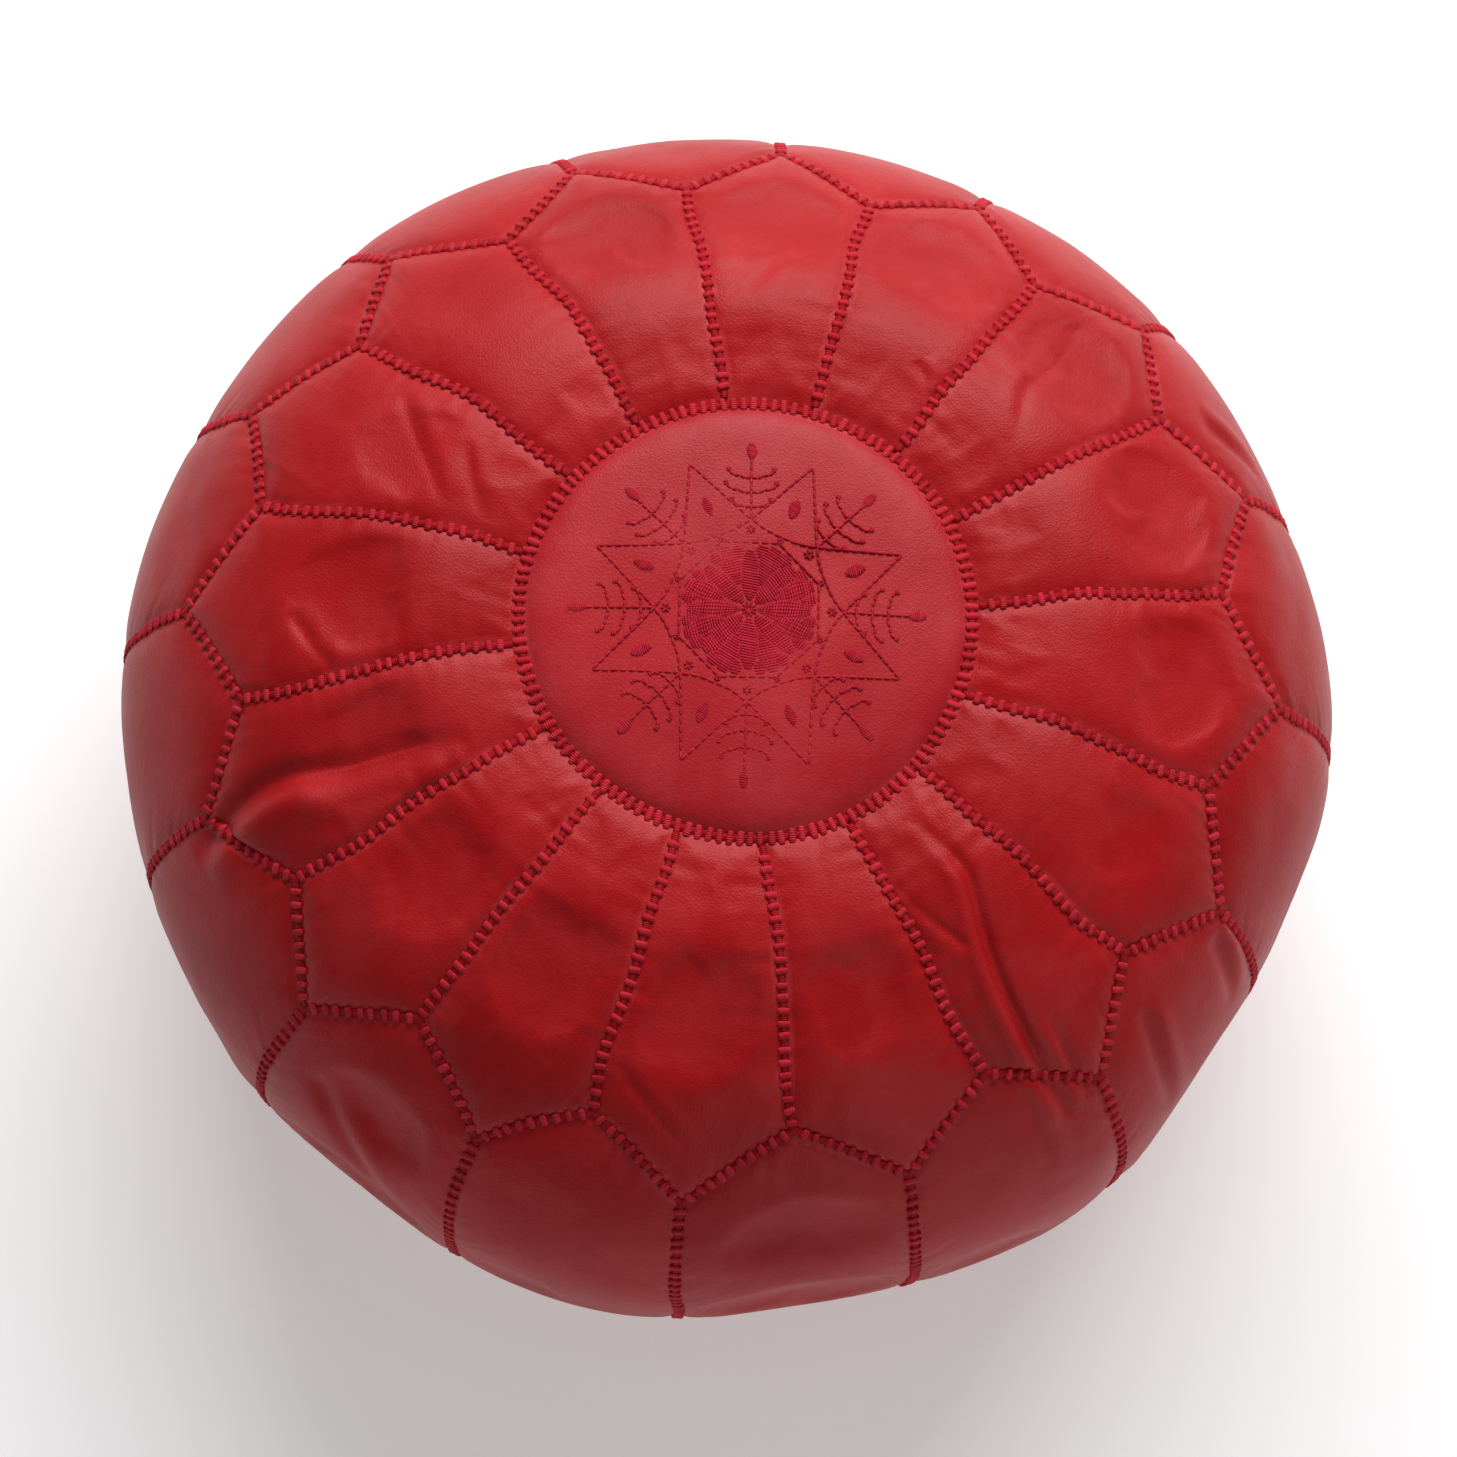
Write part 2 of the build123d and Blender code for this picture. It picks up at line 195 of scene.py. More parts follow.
def closed_surface(grid, first=0, inside_out=False):
    """Points and polygons of rings closed with a fan at each end. The rings start at the top
    and turn anticlockwise seen from above."""
    rings, sectors = grid.shape[:2]
    points = join(grid.reshape(-1, 3), [grid[0].mean(axis=0)], [grid[-1].mean(axis=0)])
    ring = first + np.arange(sectors)
    low_ring = ring + (rings - 1) * sectors
    top = np.full(sectors, first + rings * sectors)
    polygons = [grid_quads(rings, sectors, closed=True, first=first),
                np.stack([top, np.roll(ring, -1), ring], axis=1),
                np.stack([top + 1, low_ring, np.roll(low_ring, -1)], axis=1)]
    if not inside_out:
        polygons = [p[:, ::-1] for p in polygons]
    return points, polygons


def dress(piece, material):
    """Give a finished piece its material and the body it moves with."""
    piece.data.materials.clear()
    piece.data.materials.append(material)
    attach(piece, COVER)


# ---- the wall

def hermite(start, end, slope_start, slope_end, count):
    """A curve in the plane from start to end with those end slopes."""
    t = np.linspace(0, 1, count)[:, None]
    shapes = (2 * t**3 - 3 * t**2 + 1, t**3 - 2 * t**2 + t, 3 * t**2 - 2 * t**3, t**3 - t**2)
    parts = (start, slope_start, end, slope_end)
    return sum(shape * np.asarray(part) for shape, part in zip(shapes, parts))


def wall_outline():
    """Radius and height along the wall, from the middle of the top to that of the base."""
    low_turn = -acos((BLEND_RADIUS / RADIUS) ** (POWER / 2))
    turn = np.linspace(pi / 2, low_turn, SIDE_POINTS)
    radius = RADIUS * np.abs(np.cos(turn)) ** (2 / POWER)
    rise = HALF_PROFILE * np.sign(turn) * np.abs(np.sin(turn)) ** (2 / POWER)
    share = np.clip((radius - DIMPLE_START) / (DIMPLE_END - DIMPLE_START), 0, 1)
    dimple = DIMPLE_DEPTH * 0.5 * (1 + np.cos(pi * share))
    side = np.stack([radius, WAIST + rise - np.where(turn > 0, dimple, 0)], axis=1)
    slope = unit(side[-1] - side[-2]) * (BLEND_RADIUS - FLAT_OUTER)
    under = hermite(side[-1], (FLAT_OUTER, 0), slope, (FLAT_OUTER - BLEND_RADIUS, 0), 60)
    recess_end = BASE_RING_RADIUS + RECESS_RIM
    reach = recess_end - FLAT_INNER
    recess = hermite((FLAT_INNER, 0), (recess_end, BASE_FLOOR), (reach, 0), (reach, 0), 40)
    return join(side, under[1:], recess, [[0, BASE_FLOOR]])


def distances(points, axis=0):
    """How far each point is along its line; a grid's lines run down (0) or across (1)."""
    steps = norm(np.diff(points, axis=axis), axis=-1)
    return np.insert(np.cumsum(steps, axis=axis), 0, 0, axis=axis)


OUTLINE = wall_outline()
RUNS = distances(OUTLINE)
TOP = slice(SIDE_POINTS // 2)
UNDERSIDE = slice(SIDE_POINTS, None)


def outline_at(run):
    """The wall's radius and height at a run."""
    return np.interp(run, RUNS, OUTLINE[:, 0]), np.interp(run, RUNS, OUTLINE[:, 1])


def run_on_top(radius):
    """The run where the top of the wall is at a radius."""
    return np.interp(radius, OUTLINE[TOP, 0], RUNS[TOP])


def run_below(radius):
    """The run where the underside of the wall is at a radius."""
    return np.interp(-radius, -OUTLINE[UNDERSIDE, 0], RUNS[UNDERSIDE])


RING_RUN = run_on_top(RING_RADIUS)
VALLEY_RUN = run_on_top(VALLEY_RADIUS)
TIP_RUN = run_on_top(TIP_RADIUS)
BASE_RING_RUN = run_below(BASE_RING_RADIUS)
END_RUN = RUNS[-1]

# How far the hand-sewn seams drift, slowly across and along the wall and quickly across it
DRIFT_ACROSS = 2.6 * MM
DRIFT_ALONG = 2.4 * MM
QUICK_DRIFT = 0.7 * MM

# The petal seams don't point quite at the middle: their inner ends sit a little round from
# their outer ends, by a turn that changes round the pouf
SEAM_TWIST = radians(-1.7)
TWIST_CHANGE = radians(1.9)
TWIST_HEADING = radians(165)

# How the stuffed side bulges in and out: how many waves go round the pouf, their height in
# millimetres and their turn
SIDE_WAVES = [(1, 1.8, 2.9), (2, 2.3, 0.4), (3, 1.2, -1.1), (6, 1.2, -0.7), (7, 1.0, -0.3),
              (8, 1.2, 0.75)]

# How far the top leans over, and its middle more than its edge
TOP_LEAN = np.array([2.8, 4.5, 0]) * MM
MIDDLE_LEAN = np.array([4.0, 5.5, 0]) * MM


def wobble(angle, run):
    """Small drifts of the hand-sewn seams along and across the wall, as (angle, run)."""
    radius = outline_at(run)[0]
    place = round_points(angle, radius, run)
    loose = smooth_step(run, 0.02, 0.12) * (1 - smooth_step(run, END_RUN - 0.2, END_RUN - 0.14))
    across = DRIFT_ACROSS * waves(place, 260 * MM, 11) + QUICK_DRIFT * waves(place, 55 * MM, 13)
    along = DRIFT_ALONG * waves(place, 240 * MM, 12) * loose
    inner_end = smooth_step(run, RING_RUN - 20 * MM, RING_RUN)
    inner_end = inner_end * np.clip((VALLEY_RUN - run) / (VALLEY_RUN - RING_RUN), 0, 1)
    twist = (SEAM_TWIST + TWIST_CHANGE * np.cos(angle - TWIST_HEADING)) * inner_end
    return across * loose / np.maximum(radius, 60 * MM) + twist, along


def lean(angle, height):
    """How far the stuffed shape has settled out of round, sideways only."""
    share = height / HEIGHT
    bulge = sum(size * MM * np.cos(count * angle + turn) for count, size, turn in SIDE_WAVES)
    off = round_points(angle, bulge * np.sin(pi * np.clip(share, 0, 1)), 0 * bulge)
    off = off + smooth_step(share, 0.6, 0.85)[..., None] * TOP_LEAN
    return off + smooth_step(share, 0.91, 0.98)[..., None] * MIDDLE_LEAN


def wall(angle, run, lift=0.0):
    """Points on the wall and their outward normals, for arrays of angle, run and lift."""
    angle, run = np.broadcast_arrays(np.asarray(angle, float), np.asarray(run, float))
    turn_by, run_by = wobble(angle, run)
    angle, run = angle + turn_by, run + run_by
    radius, height = outline_at(run)
    ahead = np.stack(outline_at(np.minimum(run + SLOPE_REACH, END_RUN)), axis=-1)
    behind = np.stack(outline_at(np.maximum(run - SLOPE_REACH, 0)), axis=-1)
    slope = unit(ahead - behind)
    normal = round_points(angle, -slope[..., 1], slope[..., 0])
    point = round_points(angle, radius, height) + lean(angle, height)
    return point + normal * np.asarray(lift)[..., None], normal


# ---- seam lines

# The seams lie less deep down the side, and less deep again underneath
SIDE_EASE = 0.45
UNDER_EASE = 0.15


def seam_depth(run):
    """How far the seams lie below the wall: deepest round the medallion."""
    near_ring = np.exp(-((run - RING_RUN) / RING_REACH) ** 2)
    side = smooth_step(run, TIP_RUN + 10 * MM, TIP_RUN + 60 * MM)
    under = smooth_step(run, BASE_RING_RUN - 50 * MM, BASE_RING_RUN - 30 * MM)
    return SEAM_DEPTH * (1 - SIDE_EASE * side - UNDER_EASE * under) + RING_DEPTH * near_ring


def zigzag_run(angle):
    """The run of the zigzag seam at an angle: straight between valley and tip from above."""
    from_valley = np.abs((angle - FIRST_SEAM + STEP / 2) % STEP - STEP / 2)
    half = STEP / 2
    below = VALLEY_RADIUS * np.sin(from_valley) + TIP_RADIUS * np.sin(half - from_valley)
    return run_on_top(VALLEY_RADIUS * TIP_RADIUS * np.sin(half) / below)


def seam_line(angles, runs):
    """Points and normals along a seam given by its angles and runs."""
    return wall(angles, runs, -seam_depth(runs))


def zigzag_edge(i):
    """One straight stretch of the zigzag, from a valley or tip to the next."""
    margin = 0.02 * STEP
    start = FIRST_SEAM + i * STEP / 2 + margin
    angles = np.linspace(start, start + STEP / 2 - 2 * margin, 80)
    return seam_line(angles, zigzag_run(angles))


def extended(points):
    """The points with one more at each end, straight on."""
    return join(2 * points[:1] - points[1:2], points, 2 * points[-1:] - points[-2:-1])


def smooth_line(points, steps=14):
    """A smooth line through a few points."""
    points = np.asarray(points, float)
    padded = extended(points)
    t = np.linspace(0, 1, steps, endpoint=False)[:, None]
    pieces = []
    for a, b, c, d in zip(padded[:-3], padded[1:-2], padded[2:-1], padded[3:]):
        pull = c - a
        bend = 2 * a - 5 * b + 4 * c - d
        swing = 3 * (b - c) + d - a
        pieces.append(b + 0.5 * t * (pull + t * (bend + t * swing)))
    return join(*pieces, points[-1:])


# ---- grids of points

def border_distances(grid):
    """How far each point is down its column, across its row and from their nearer ends."""
    down, across = distances(grid), distances(grid, 1)
    return (down, across, np.minimum(down, down[-1:] - down),
            np.minimum(across, across[:, -1:] - across))


def edge_distance(grid):
    """The distance from each grid point to the nearest border, along the grid's lines."""
    return np.minimum(*border_distances(grid)[2:])


def refine(grid):
    """Twice as many points each way, on a smooth surface through the grid's points."""
    for axis in (0, 1):
        grid = np.moveaxis(grid, axis, 0)
        padded = extended(grid)
        between = (9 * (padded[1:-2] + padded[2:-1]) - (padded[:-3] + padded[3:])) / 16
        finer = np.empty((2 * len(grid) - 1,) + grid.shape[1:])
        finer[0::2] = grid
        finer[1::2] = between
        grid = np.moveaxis(finer, 0, axis)
    return grid


def grid_normals(grid, outward):
    """Unit normals of a grid, on the same side as the outward ones."""
    normal = unit(np.cross(np.gradient(grid, axis=0), np.gradient(grid, axis=1)))
    flip = np.sign((normal * outward).sum(axis=2, keepdims=True))
    return normal * np.where(flip == 0, 1, flip)


# ---- leather panels

# Each kind of panel: its rows and columns of points, its first crown and how loosely it is cut
PANELS = {"top_petal": (33, 19, 5.0 * MM, 0.018), "side_panel": (79, 25, 3.6 * MM, 0.012)}
CROWN_REACH = 8 * MM
CROWN_BEFORE_CLOTH = 0.55
FLOOR_PRESS = 1.2 * MM

GATHER_WAVES = np.array([8, 11, 14, 19, 27]) * MM
GATHER_SUM = 2.2
GATHER_REACH = 11 * MM
GATHER_HEIGHT = 0.24 * MM

# Folds in the leather: the places each runs through, as a run from the middle of the top in
# millimetres and an angle in degrees, then its depth and width in millimetres and the side of
# its ridge
CREASES = [
    ([(268, 204), (236, 201), (203, 200), (173, 202), (148, 204), (128, 206)], 4.4, 6.2, -1),
    ([(262, 308), (221, 308), (191, 310), (163, 312.5), (139, 316), (112, 314)], 3.2, 3.2, 1),
    ([(262, 311), (241, 311), (212, 312)], 1.8, 2.4, 1),
    ([(172, 309), (150, 305), (128, 303)], 1.0, 2.6, 1),
    ([(215, 47), (175, 45), (155, 44), (136, 38)], 1.1, 3.2, -1),
    ([(136, 61), (124, 54)], 1.2, 2.6, 1),
    ([(180, 85), (142, 93)], 0.9, 3.6, 1),
    ([(182, 148), (160, 155), (138, 163)], 1.3, 3.4, 1),
    ([(144, 151), (119, 164)], 0.9, 3.0, 1),
    ([(192, 180), (172, 189)], 1.3, 3.4, 1),
    ([(195, 259), (229, 268)], 0.8, 2.8, 1),
    ([(246, 321), (280, 320), (318, 320)], 2.2, 3.6, 1),
    ([(244, 304), (286, 305)], 1.6, 3.2, 1),
    ([(260, 333), (306, 331)], 2.6, 4.0, 1),
    ([(248, 30), (284, 24)], 2.0, 4.0, 1),
    ([(280, 228), (330, 240)], 1.8, 5.0, 1),
]
CREASE_REACH = 30 * MM
RIDGE_SHARE = 0.6

CLOTH_FRAMES = 22
MOST_MOVE = 16 * MM
CLOTH = dict(quality=5, mass=0.4, tension_stiffness=60, compression_stiffness=60,
             shear_stiffness=30, bending_stiffness=4, tension_damping=12,
             compression_damping=12, shear_damping=8, air_damping=4, vertex_group_mass="pins",
             pin_stiffness=40, use_pressure=True, uniform_pressure_force=5)


def panel_places(kind, i, rows, columns):
    """Angles and runs of a panel's points, inside its seams; rows go away from the top."""
    petal = kind == "top_petal"
    middle = FIRST_SEAM + (i + 0.5 * petal) * STEP
    share = np.linspace(-1, 1, columns)
    zigzag = zigzag_run(middle + share * STEP / 2)
    inner = RING_RUN + PANEL_INSET if petal else zigzag + ZIGZAG_INSET
    outer = zigzag - ZIGZAG_INSET if petal else BASE_RING_RUN - PANEL_INSET
    run = inner + (outer - inner) * np.linspace(0, 1, rows)[:, None]
    half = STEP / 2 - PANEL_INSET / outline_at(run)[0]
    return middle + share * half, run


def rolled_edge(line, inward, normal, roll, shoulder, deep, back):
    """Lines that take a panel's border round into its seam, down to two depths and back under
    the panel."""
    outside = unit(-inward + normal * (inward * normal).sum(axis=1, keepdims=True))
    steps = [(roll * sin(turn), roll * (1 - cos(turn))) for turn in ROLL_TURNS]
    steps += [(roll, shoulder), (roll, deep), (roll - back, deep)]
    return [line + outside * out - normal * down for out, down in steps]


def leather_panel(name, grid, outward, tint, roll=ROLL, flange=FLANGE):
    """A closed leather panel: the grid, its edge rolled down into the seam, and its back. Its
    points know how far they are from the edge, which the material uses."""
    rows, columns = grid.shape[:2]
    top = grid.reshape(-1, 3)
    normal = grid_normals(grid, outward).reshape(-1, 3)
    rim = rim_order(rows, columns)
    row, column = np.divmod(rim, columns)
    inside = grid[np.clip(row, 1, rows - 2), np.clip(column, 1, columns - 2)]
    rings = rolled_edge(top[rim], unit(inside - top[rim]), unit(outward[row, column]), roll,
                        roll + 0.2 * flange, roll + flange, min(roll, LEATHER))
    points = join(top, *rings, top - normal * LEATHER)
    points[:, 2] = np.maximum(points[:, 2], FLOOR_GAP)
    back = len(points) - len(top)
    level = np.stack([rim, *np.arange(len(top), back).reshape(len(rings), -1), back + rim])
    after = np.roll(level, -1, axis=1)
    sides = np.stack([level[:-1], level[1:], after[1:], after[:-1]], axis=2).reshape(-1, 4)
    face = grid_quads(rows, columns)
    faces = join(face, sides, grid_quads(rows, columns, first=back)[:, ::-1])
    a, b, c = (top[face[:, k]] for k in (0, 1, 2))
    if (np.cross(b - a, c - a) * normal[face[:, 0]]).sum() < 0:
        faces = faces[:, ::-1]
    edge = edge_distance(grid).ravel() + roll
    rolled = [np.full(len(rim), roll * max(1 - (k + 1) / 3, 0)) for k in range(len(rings))]
    fields = {"edge": join(edge, *rolled, edge), "tint": np.full(len(points), tint)}
    return make_mesh(name, points, [faces], fields)


def ripple(length, seed):
    """Uneven ripples along a seam, near -1 to 1, at distances along it."""
    source = np.random.default_rng(seed)
    return sum(np.cos(2 * pi * (length / wavelength + source.uniform()))
               for wavelength in GATHER_WAVES) / GATHER_SUM


def gathers(grid, seed):
    """Small gathers that run in from the seams, square to them, and die out in the panel."""
    down, across, from_end, from_side = border_distances(grid)
    right = across > across[:, -1:] / 2
    lower = down > down[-1:] / 2
    side = np.where(right, ripple(down, seed), ripple(down, seed + 1))
    end = np.where(lower, ripple(across, seed + 2), ripple(across, seed + 3))
    reach = np.maximum(GATHER_REACH * (1 + 0.5 * waves(grid, 60 * MM, 41)), 4 * MM)
    total = sum(size * np.exp(-gap / reach) * smooth_step(gap, 0, 2.5 * MM)
                for size, gap in ((side, from_side), (end, from_end)))
    return GATHER_HEIGHT * total


def slack_waves(points):
    """Broad shallow waves where the leather is not pulled tight."""
    loose = smooth_step(waves(points, 150 * MM, 44), -0.3, 1.0)
    return loose * (0.4 * MM * waves(points, 48 * MM, 45) + 0.12 * MM * waves(points, 22 * MM, 46))


def crease(points, places, depth, width, side):
    """A fold pressed into the leather along a line through places on the wall. It is deepest
    near its start, and a ridge is pushed up beside it: on its left where the side is 1, on its
    right where it is -1."""
    depth, width = depth * MM, width * MM
    path = smooth_line(places, 8)
    line, outward = wall(np.radians(path[:, 1]), path[:, 0] * MM)
    if norm(points[:, None] - line[None, ::4], axis=2).min() > CREASE_REACH:
        return np.zeros(len(points))
    along = np.diff(line, axis=0)[:, None]
    to_point = points - line[:-1, None]
    share = np.clip((to_point * along).sum(axis=2) / (along**2).sum(axis=2), 0, 1)
    gap = to_point - share[..., None] * along
    step = norm(gap, axis=2).argmin(axis=0)
    share, gap = share[step, np.arange(len(points))], gap[step, np.arange(len(points))]
    place = (step + share) / (len(line) - 1)
    near = norm(gap, axis=1)
    signed = near * side * np.sign((gap * np.cross(outward[step], along[step, 0])).sum(axis=1))
    fade = np.sin(pi * np.clip(place, 0, 1) ** 0.7) ** 0.7
    valley = np.exp(-(near / width) ** 2)
    ridge = np.exp(-((signed - 2.0 * width) / (1.4 * width)) ** 2)
    return depth * (RIDGE_SHARE * ridge - valley) * fade


def inflate(grids, slack):
    """Run the panels as cloth under pressure, held along their borders. Returns new grids."""
    points, faces, rest, held = [], [], [], []
    first = 0
    for grid, share in zip(grids, slack):
        flat = grid.reshape(-1, 3)
        points.append(flat)
        rest.append(flat.mean(axis=0) + (flat - flat.mean(axis=0)) * (1 + share.reshape(-1, 1)))
        faces.append(grid_quads(*grid.shape[:2], first=first))
        held.append(first + rim_order(*grid.shape[:2]))
        first += len(flat)
    start = join(*points)
    piece = make_mesh("cloth_work", start, faces)
    piece.shape_key_add(name="Basis")
    relaxed = piece.shape_key_add(name="Relaxed")
    relaxed.data.foreach_set("co", join(*rest).astype(np.float32).ravel())
    relaxed.value = 0
    pins = piece.vertex_groups.new(name="pins")
    pins.add(join(*held).tolist(), 1.0, "REPLACE")
    cloth = piece.modifiers.new("Cloth", "CLOTH")
    for setting, value in CLOTH.items():
        setattr(cloth.settings, setting, value)
    cloth.settings.rest_shape_key = relaxed
    cloth.settings.effector_weights.gravity = 0
    cloth.collision_settings.use_collision = False
    cloth.point_cache.frame_start = 1
    cloth.point_cache.frame_end = CLOTH_FRAMES
    scene = bpy.context.scene
    for step in range(1, CLOTH_FRAMES + 1):
        scene.frame_set(step)
    result = piece.evaluated_get(bpy.context.evaluated_depsgraph_get()).to_mesh()
    moved = np.empty(len(start) * 3, np.float32)
    result.vertices.foreach_get("co", moved)
    step_out = moved.reshape(-1, 3).astype(float) - start
    length = norm(step_out, axis=1, keepdims=True)
    moved = start + step_out * np.minimum(1, MOST_MOVE / np.maximum(length, 1e-9))
    bpy.data.objects.remove(piece)
    scene.frame_set(1)
    parts = np.split(moved, np.cumsum([len(flat) for flat in points])[:-1])
    return [part.reshape(grid.shape) for part, grid in zip(parts, grids)]


def make_cover(leather):
    """All petals and side panels, pressed flat where they would go below the floor."""
    crown = CROWN_BEFORE_CLOTH
    panels = []
    for i in range(COUNT):
        for kind, (rows, columns, height, _) in PANELS.items():
            angles, runs = panel_places(kind, i, rows, columns)
            base, normal = wall(angles, runs)
            lift = height * crown * (1 - np.exp(-edge_distance(base) / CROWN_REACH))
            grid = base + normal * (lift - seam_depth(runs))[..., None]
            panels.append((kind, f"{kind}_{i + 1:02d}", grid, normal))
    grids = [grid for _, _, grid, _ in panels]
    slack = [PANELS[kind][3] * (1 + 0.5 * waves(grid, 140 * MM, 31))
             for kind, _, grid, _ in panels]
    grids = inflate(grids, slack)
    for order, ((kind, name, _, normal), grid) in enumerate(zip(panels, grids)):
        fine, outward = refine(grid), refine(normal)
        if kind == "top_petal":
            fine, outward = refine(fine), refine(outward)
        folds = sum(crease(fine.reshape(-1, 3), *fold) for fold in CREASES)
        detail = gathers(fine, 100 + 4 * order) + slack_waves(fine) + folds.reshape(fine.shape[:2])
        fine = push_out(fine, outward, detail * smooth_step(edge_distance(fine), 0, 3 * MM))
        clear = (fine[..., 2] - FLOOR_GAP) / FLOOR_PRESS
        fine[..., 2] = FLOOR_GAP + FLOOR_PRESS * np.logaddexp(0, clear)
        piece = leather_panel(name + "_leather", fine, outward, rng.uniform(0, 1))
        dress(piece, leather)
        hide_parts(name)


# ---- thread

# A stitch is a flattened strand of two lobes that twist, thinner at its ends
FLATNESS = 0.66
LOBE = 0.10
LOBE_TWIST = 2.2
END_TAPER = 0.75
DIVE_START = 0.72

LACE_RADIUS = 1.55 * MM
LACE_RISE = 0.1 * MM
LACE_ARCH = 0.5 * MM
LACE_DIVE = 1.7 * MM
LACE_SKEW = 0.16
LACE_UNEVEN = 0.09
RUNNER_DEPTH = 0.7 * MM
RUNNER_WIDTH = 1.15
RUNNER_SHARE = 0.62


def thread_bits(name, centres, along, normals, half_lengths, radii, arch, dive, around=10,
                rings=9, shades=None):
    """Many short stitches in one mesh. Each is a twisted strand that arches over the leather
    along its direction, and dives into it at both ends."""
    centres, along, normals = (np.asarray(v, float) for v in (centres, along, normals))
    along = unit(along - normals * (along * normals).sum(axis=1, keepdims=True))
    side = np.cross(normals, along)
    total = len(centres)
    half_lengths = np.broadcast_to(half_lengths, (total,))
    radii = np.broadcast_to(radii, (total,))[:, None, None]
    share = np.sin(np.linspace(-1, 1, rings) * pi / 2)
    rise = arch * (1 - share**4) - dive * smooth_step(np.abs(share), DIVE_START, 1.0)
    taper = np.sqrt(np.clip(1 - END_TAPER * share**8, 0, 1))
    turn = np.linspace(0, 2 * pi, around, endpoint=False)
    lobes = taper[:, None] * (1 + LOBE * np.cos(2 * (turn - LOBE_TWIST * share[:, None])))
    wide = (lobes * np.cos(turn))[None] * radii
    high = (lobes * np.sin(turn))[None] * radii * FLATNESS + rise[None, :, None]
    reach = (share[None, :] * half_lengths[:, None])[:, :, None]
    points = centres[:, None, None, :]
    for amount, direction in ((wide, side), (high, normals), (reach, along)):
        points = points + amount[..., None] * direction[:, None, None, :]
    points = points.reshape(-1, 3)
    points[:, 2] = np.maximum(points[:, 2], FLOOR_GAP)
    offset = (np.arange(total) * rings * around)[:, None, None]
    sides = (grid_quads(rings, around, closed=True)[None] + offset).reshape(-1, 4)
    cap = np.arange(around)
    caps = np.stack([cap[::-1], cap + (rings - 1) * around])
    ends = (caps[None] + offset).reshape(-1, around)
    shades = rng.uniform(0, 1, total) if shades is None else shades
    fields = {"twist": np.tile(np.repeat(share, around), total),
              "tint": np.repeat(shades, rings * around)}
    return make_mesh(name, points, [sides, ends], fields)


def sample_line(at, lengths, values):
    """Values given at a line's points, at other distances along it."""
    return np.stack([np.interp(at, lengths, column) for column in values.T], axis=1)


def lace(name, seams, pitch, half_length, thread, node):
    """Thick stitches laid across seams, each seam a line of points and normals, over a run of the
    same thread that lies along the seam between the leather's edges. The run gets the thread's
    deepest colour as painted shade for the gaps between the stitches."""
    rungs, runners = [], []
    for points, normal in seams:
        lengths = distances(points)
        count = max(int(round(lengths[-1] / pitch)), 1)
        step = lengths[-1] / count
        uneven = rng.uniform(-LACE_UNEVEN, LACE_UNEVEN, count)
        slope = np.gradient(points, axis=0)
        rung_at = (np.arange(count) + 0.5 + uneven) * step
        for at, places in ((rung_at, rungs), (np.arange(count + 1) * step, runners)):
            place, along, up = (sample_line(at, lengths, v) for v in (points, slope, normal))
            places.append(np.stack([place, unit(along), unit(up)]))
    rung, rung_along, rung_up = join(*rungs, axis=1)
    runner, runner_along, runner_up = join(*runners, axis=1)
    skew = rng.uniform(-LACE_SKEW, LACE_SKEW, len(rung))[:, None]
    half_lengths = half_length * rng.uniform(0.9, 1.08, len(rung))
    radii = LACE_RADIUS * rng.uniform(0.9, 1.1, len(rung))
    ones = np.ones(len(runner))
    piece = thread_bits(
        name,
        join(rung + rung_up * LACE_RISE, runner - runner_up * RUNNER_DEPTH),
        join(np.cross(rung_up, rung_along) - rung_along * skew, runner_along),
        join(rung_up, runner_up),
        join(half_lengths, RUNNER_SHARE * pitch * ones),
        join(radii, RUNNER_WIDTH * LACE_RADIUS * ones),
        LACE_ARCH, LACE_DIVE,
        # The runs get tint 0, the thread's deepest colour: painted shade in the gaps between the
        # stitches.
        shades=join(rng.uniform(0.45, 1, len(rung)), 0 * ones))
    dress(piece, thread)
    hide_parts(node)


def make_laces(thread):
    """All the seams, with the pitch and half length of their stitches in millimetres."""
    round_turn = np.linspace(0, 2 * pi, 1200)
    turns = FIRST_SEAM + STEP * np.arange(COUNT)
    petal_runs = np.linspace(RING_RUN + 5.5 * MM, VALLEY_RUN - 1.5 * MM, 160)
    side_runs = np.linspace(TIP_RUN + 1.5 * MM, BASE_RING_RUN - 5 * MM, 300)
    for name, seams, pitch, half_length, node in (
            ("medallion", [seam_line(round_turn, RING_RUN)], 4.4, 4.2, "medallion_seam_thread"),
            ("petal", [seam_line(turn, petal_runs) for turn in turns], 5.4, 3.2,
             "petal_seam_threads"),
            ("zigzag", [zigzag_edge(i) for i in range(2 * COUNT)], 5.6, 3.2,
             "zigzag_seam_thread"),
            ("side", [seam_line(turn + STEP / 2, side_runs) for turn in turns], 5.8, 3.2,
             "side_seam_threads"),
            ("base", [seam_line(round_turn, BASE_RING_RUN)], 5.6, 3.2, "base_seam_thread")):
        lace(name + "_stitches", seams, pitch * MM, half_length * MM, thread, node)


# ---- medallion

MEDALLION_RINGS = 90
MEDALLION_SECTORS = 288
MEDALLION_CROWN = 1.75 * MM
MEDALLION_RIM = RING_RUN - PANEL_INSET
MEDALLION_RISE = 0.86
MEDALLION_TINT = 0.75
FAR = 1.0


def on_medallion(radius, angle, lift=0.0):
    """Points and normals on the medallion's face, low at its seam and crowned inside."""
    inside = np.maximum(MEDALLION_RIM - radius, 0)
    rim = 1 - np.exp(-inside / (6 * MM))
    swell = MEDALLION_CROWN * smooth_step(inside, 0, 80 * MM)
    height = (RING_DEPTH + SEAM_DEPTH) * (MEDALLION_RISE * rim - 1) + swell
    return wall(angle, radius, height + lift)


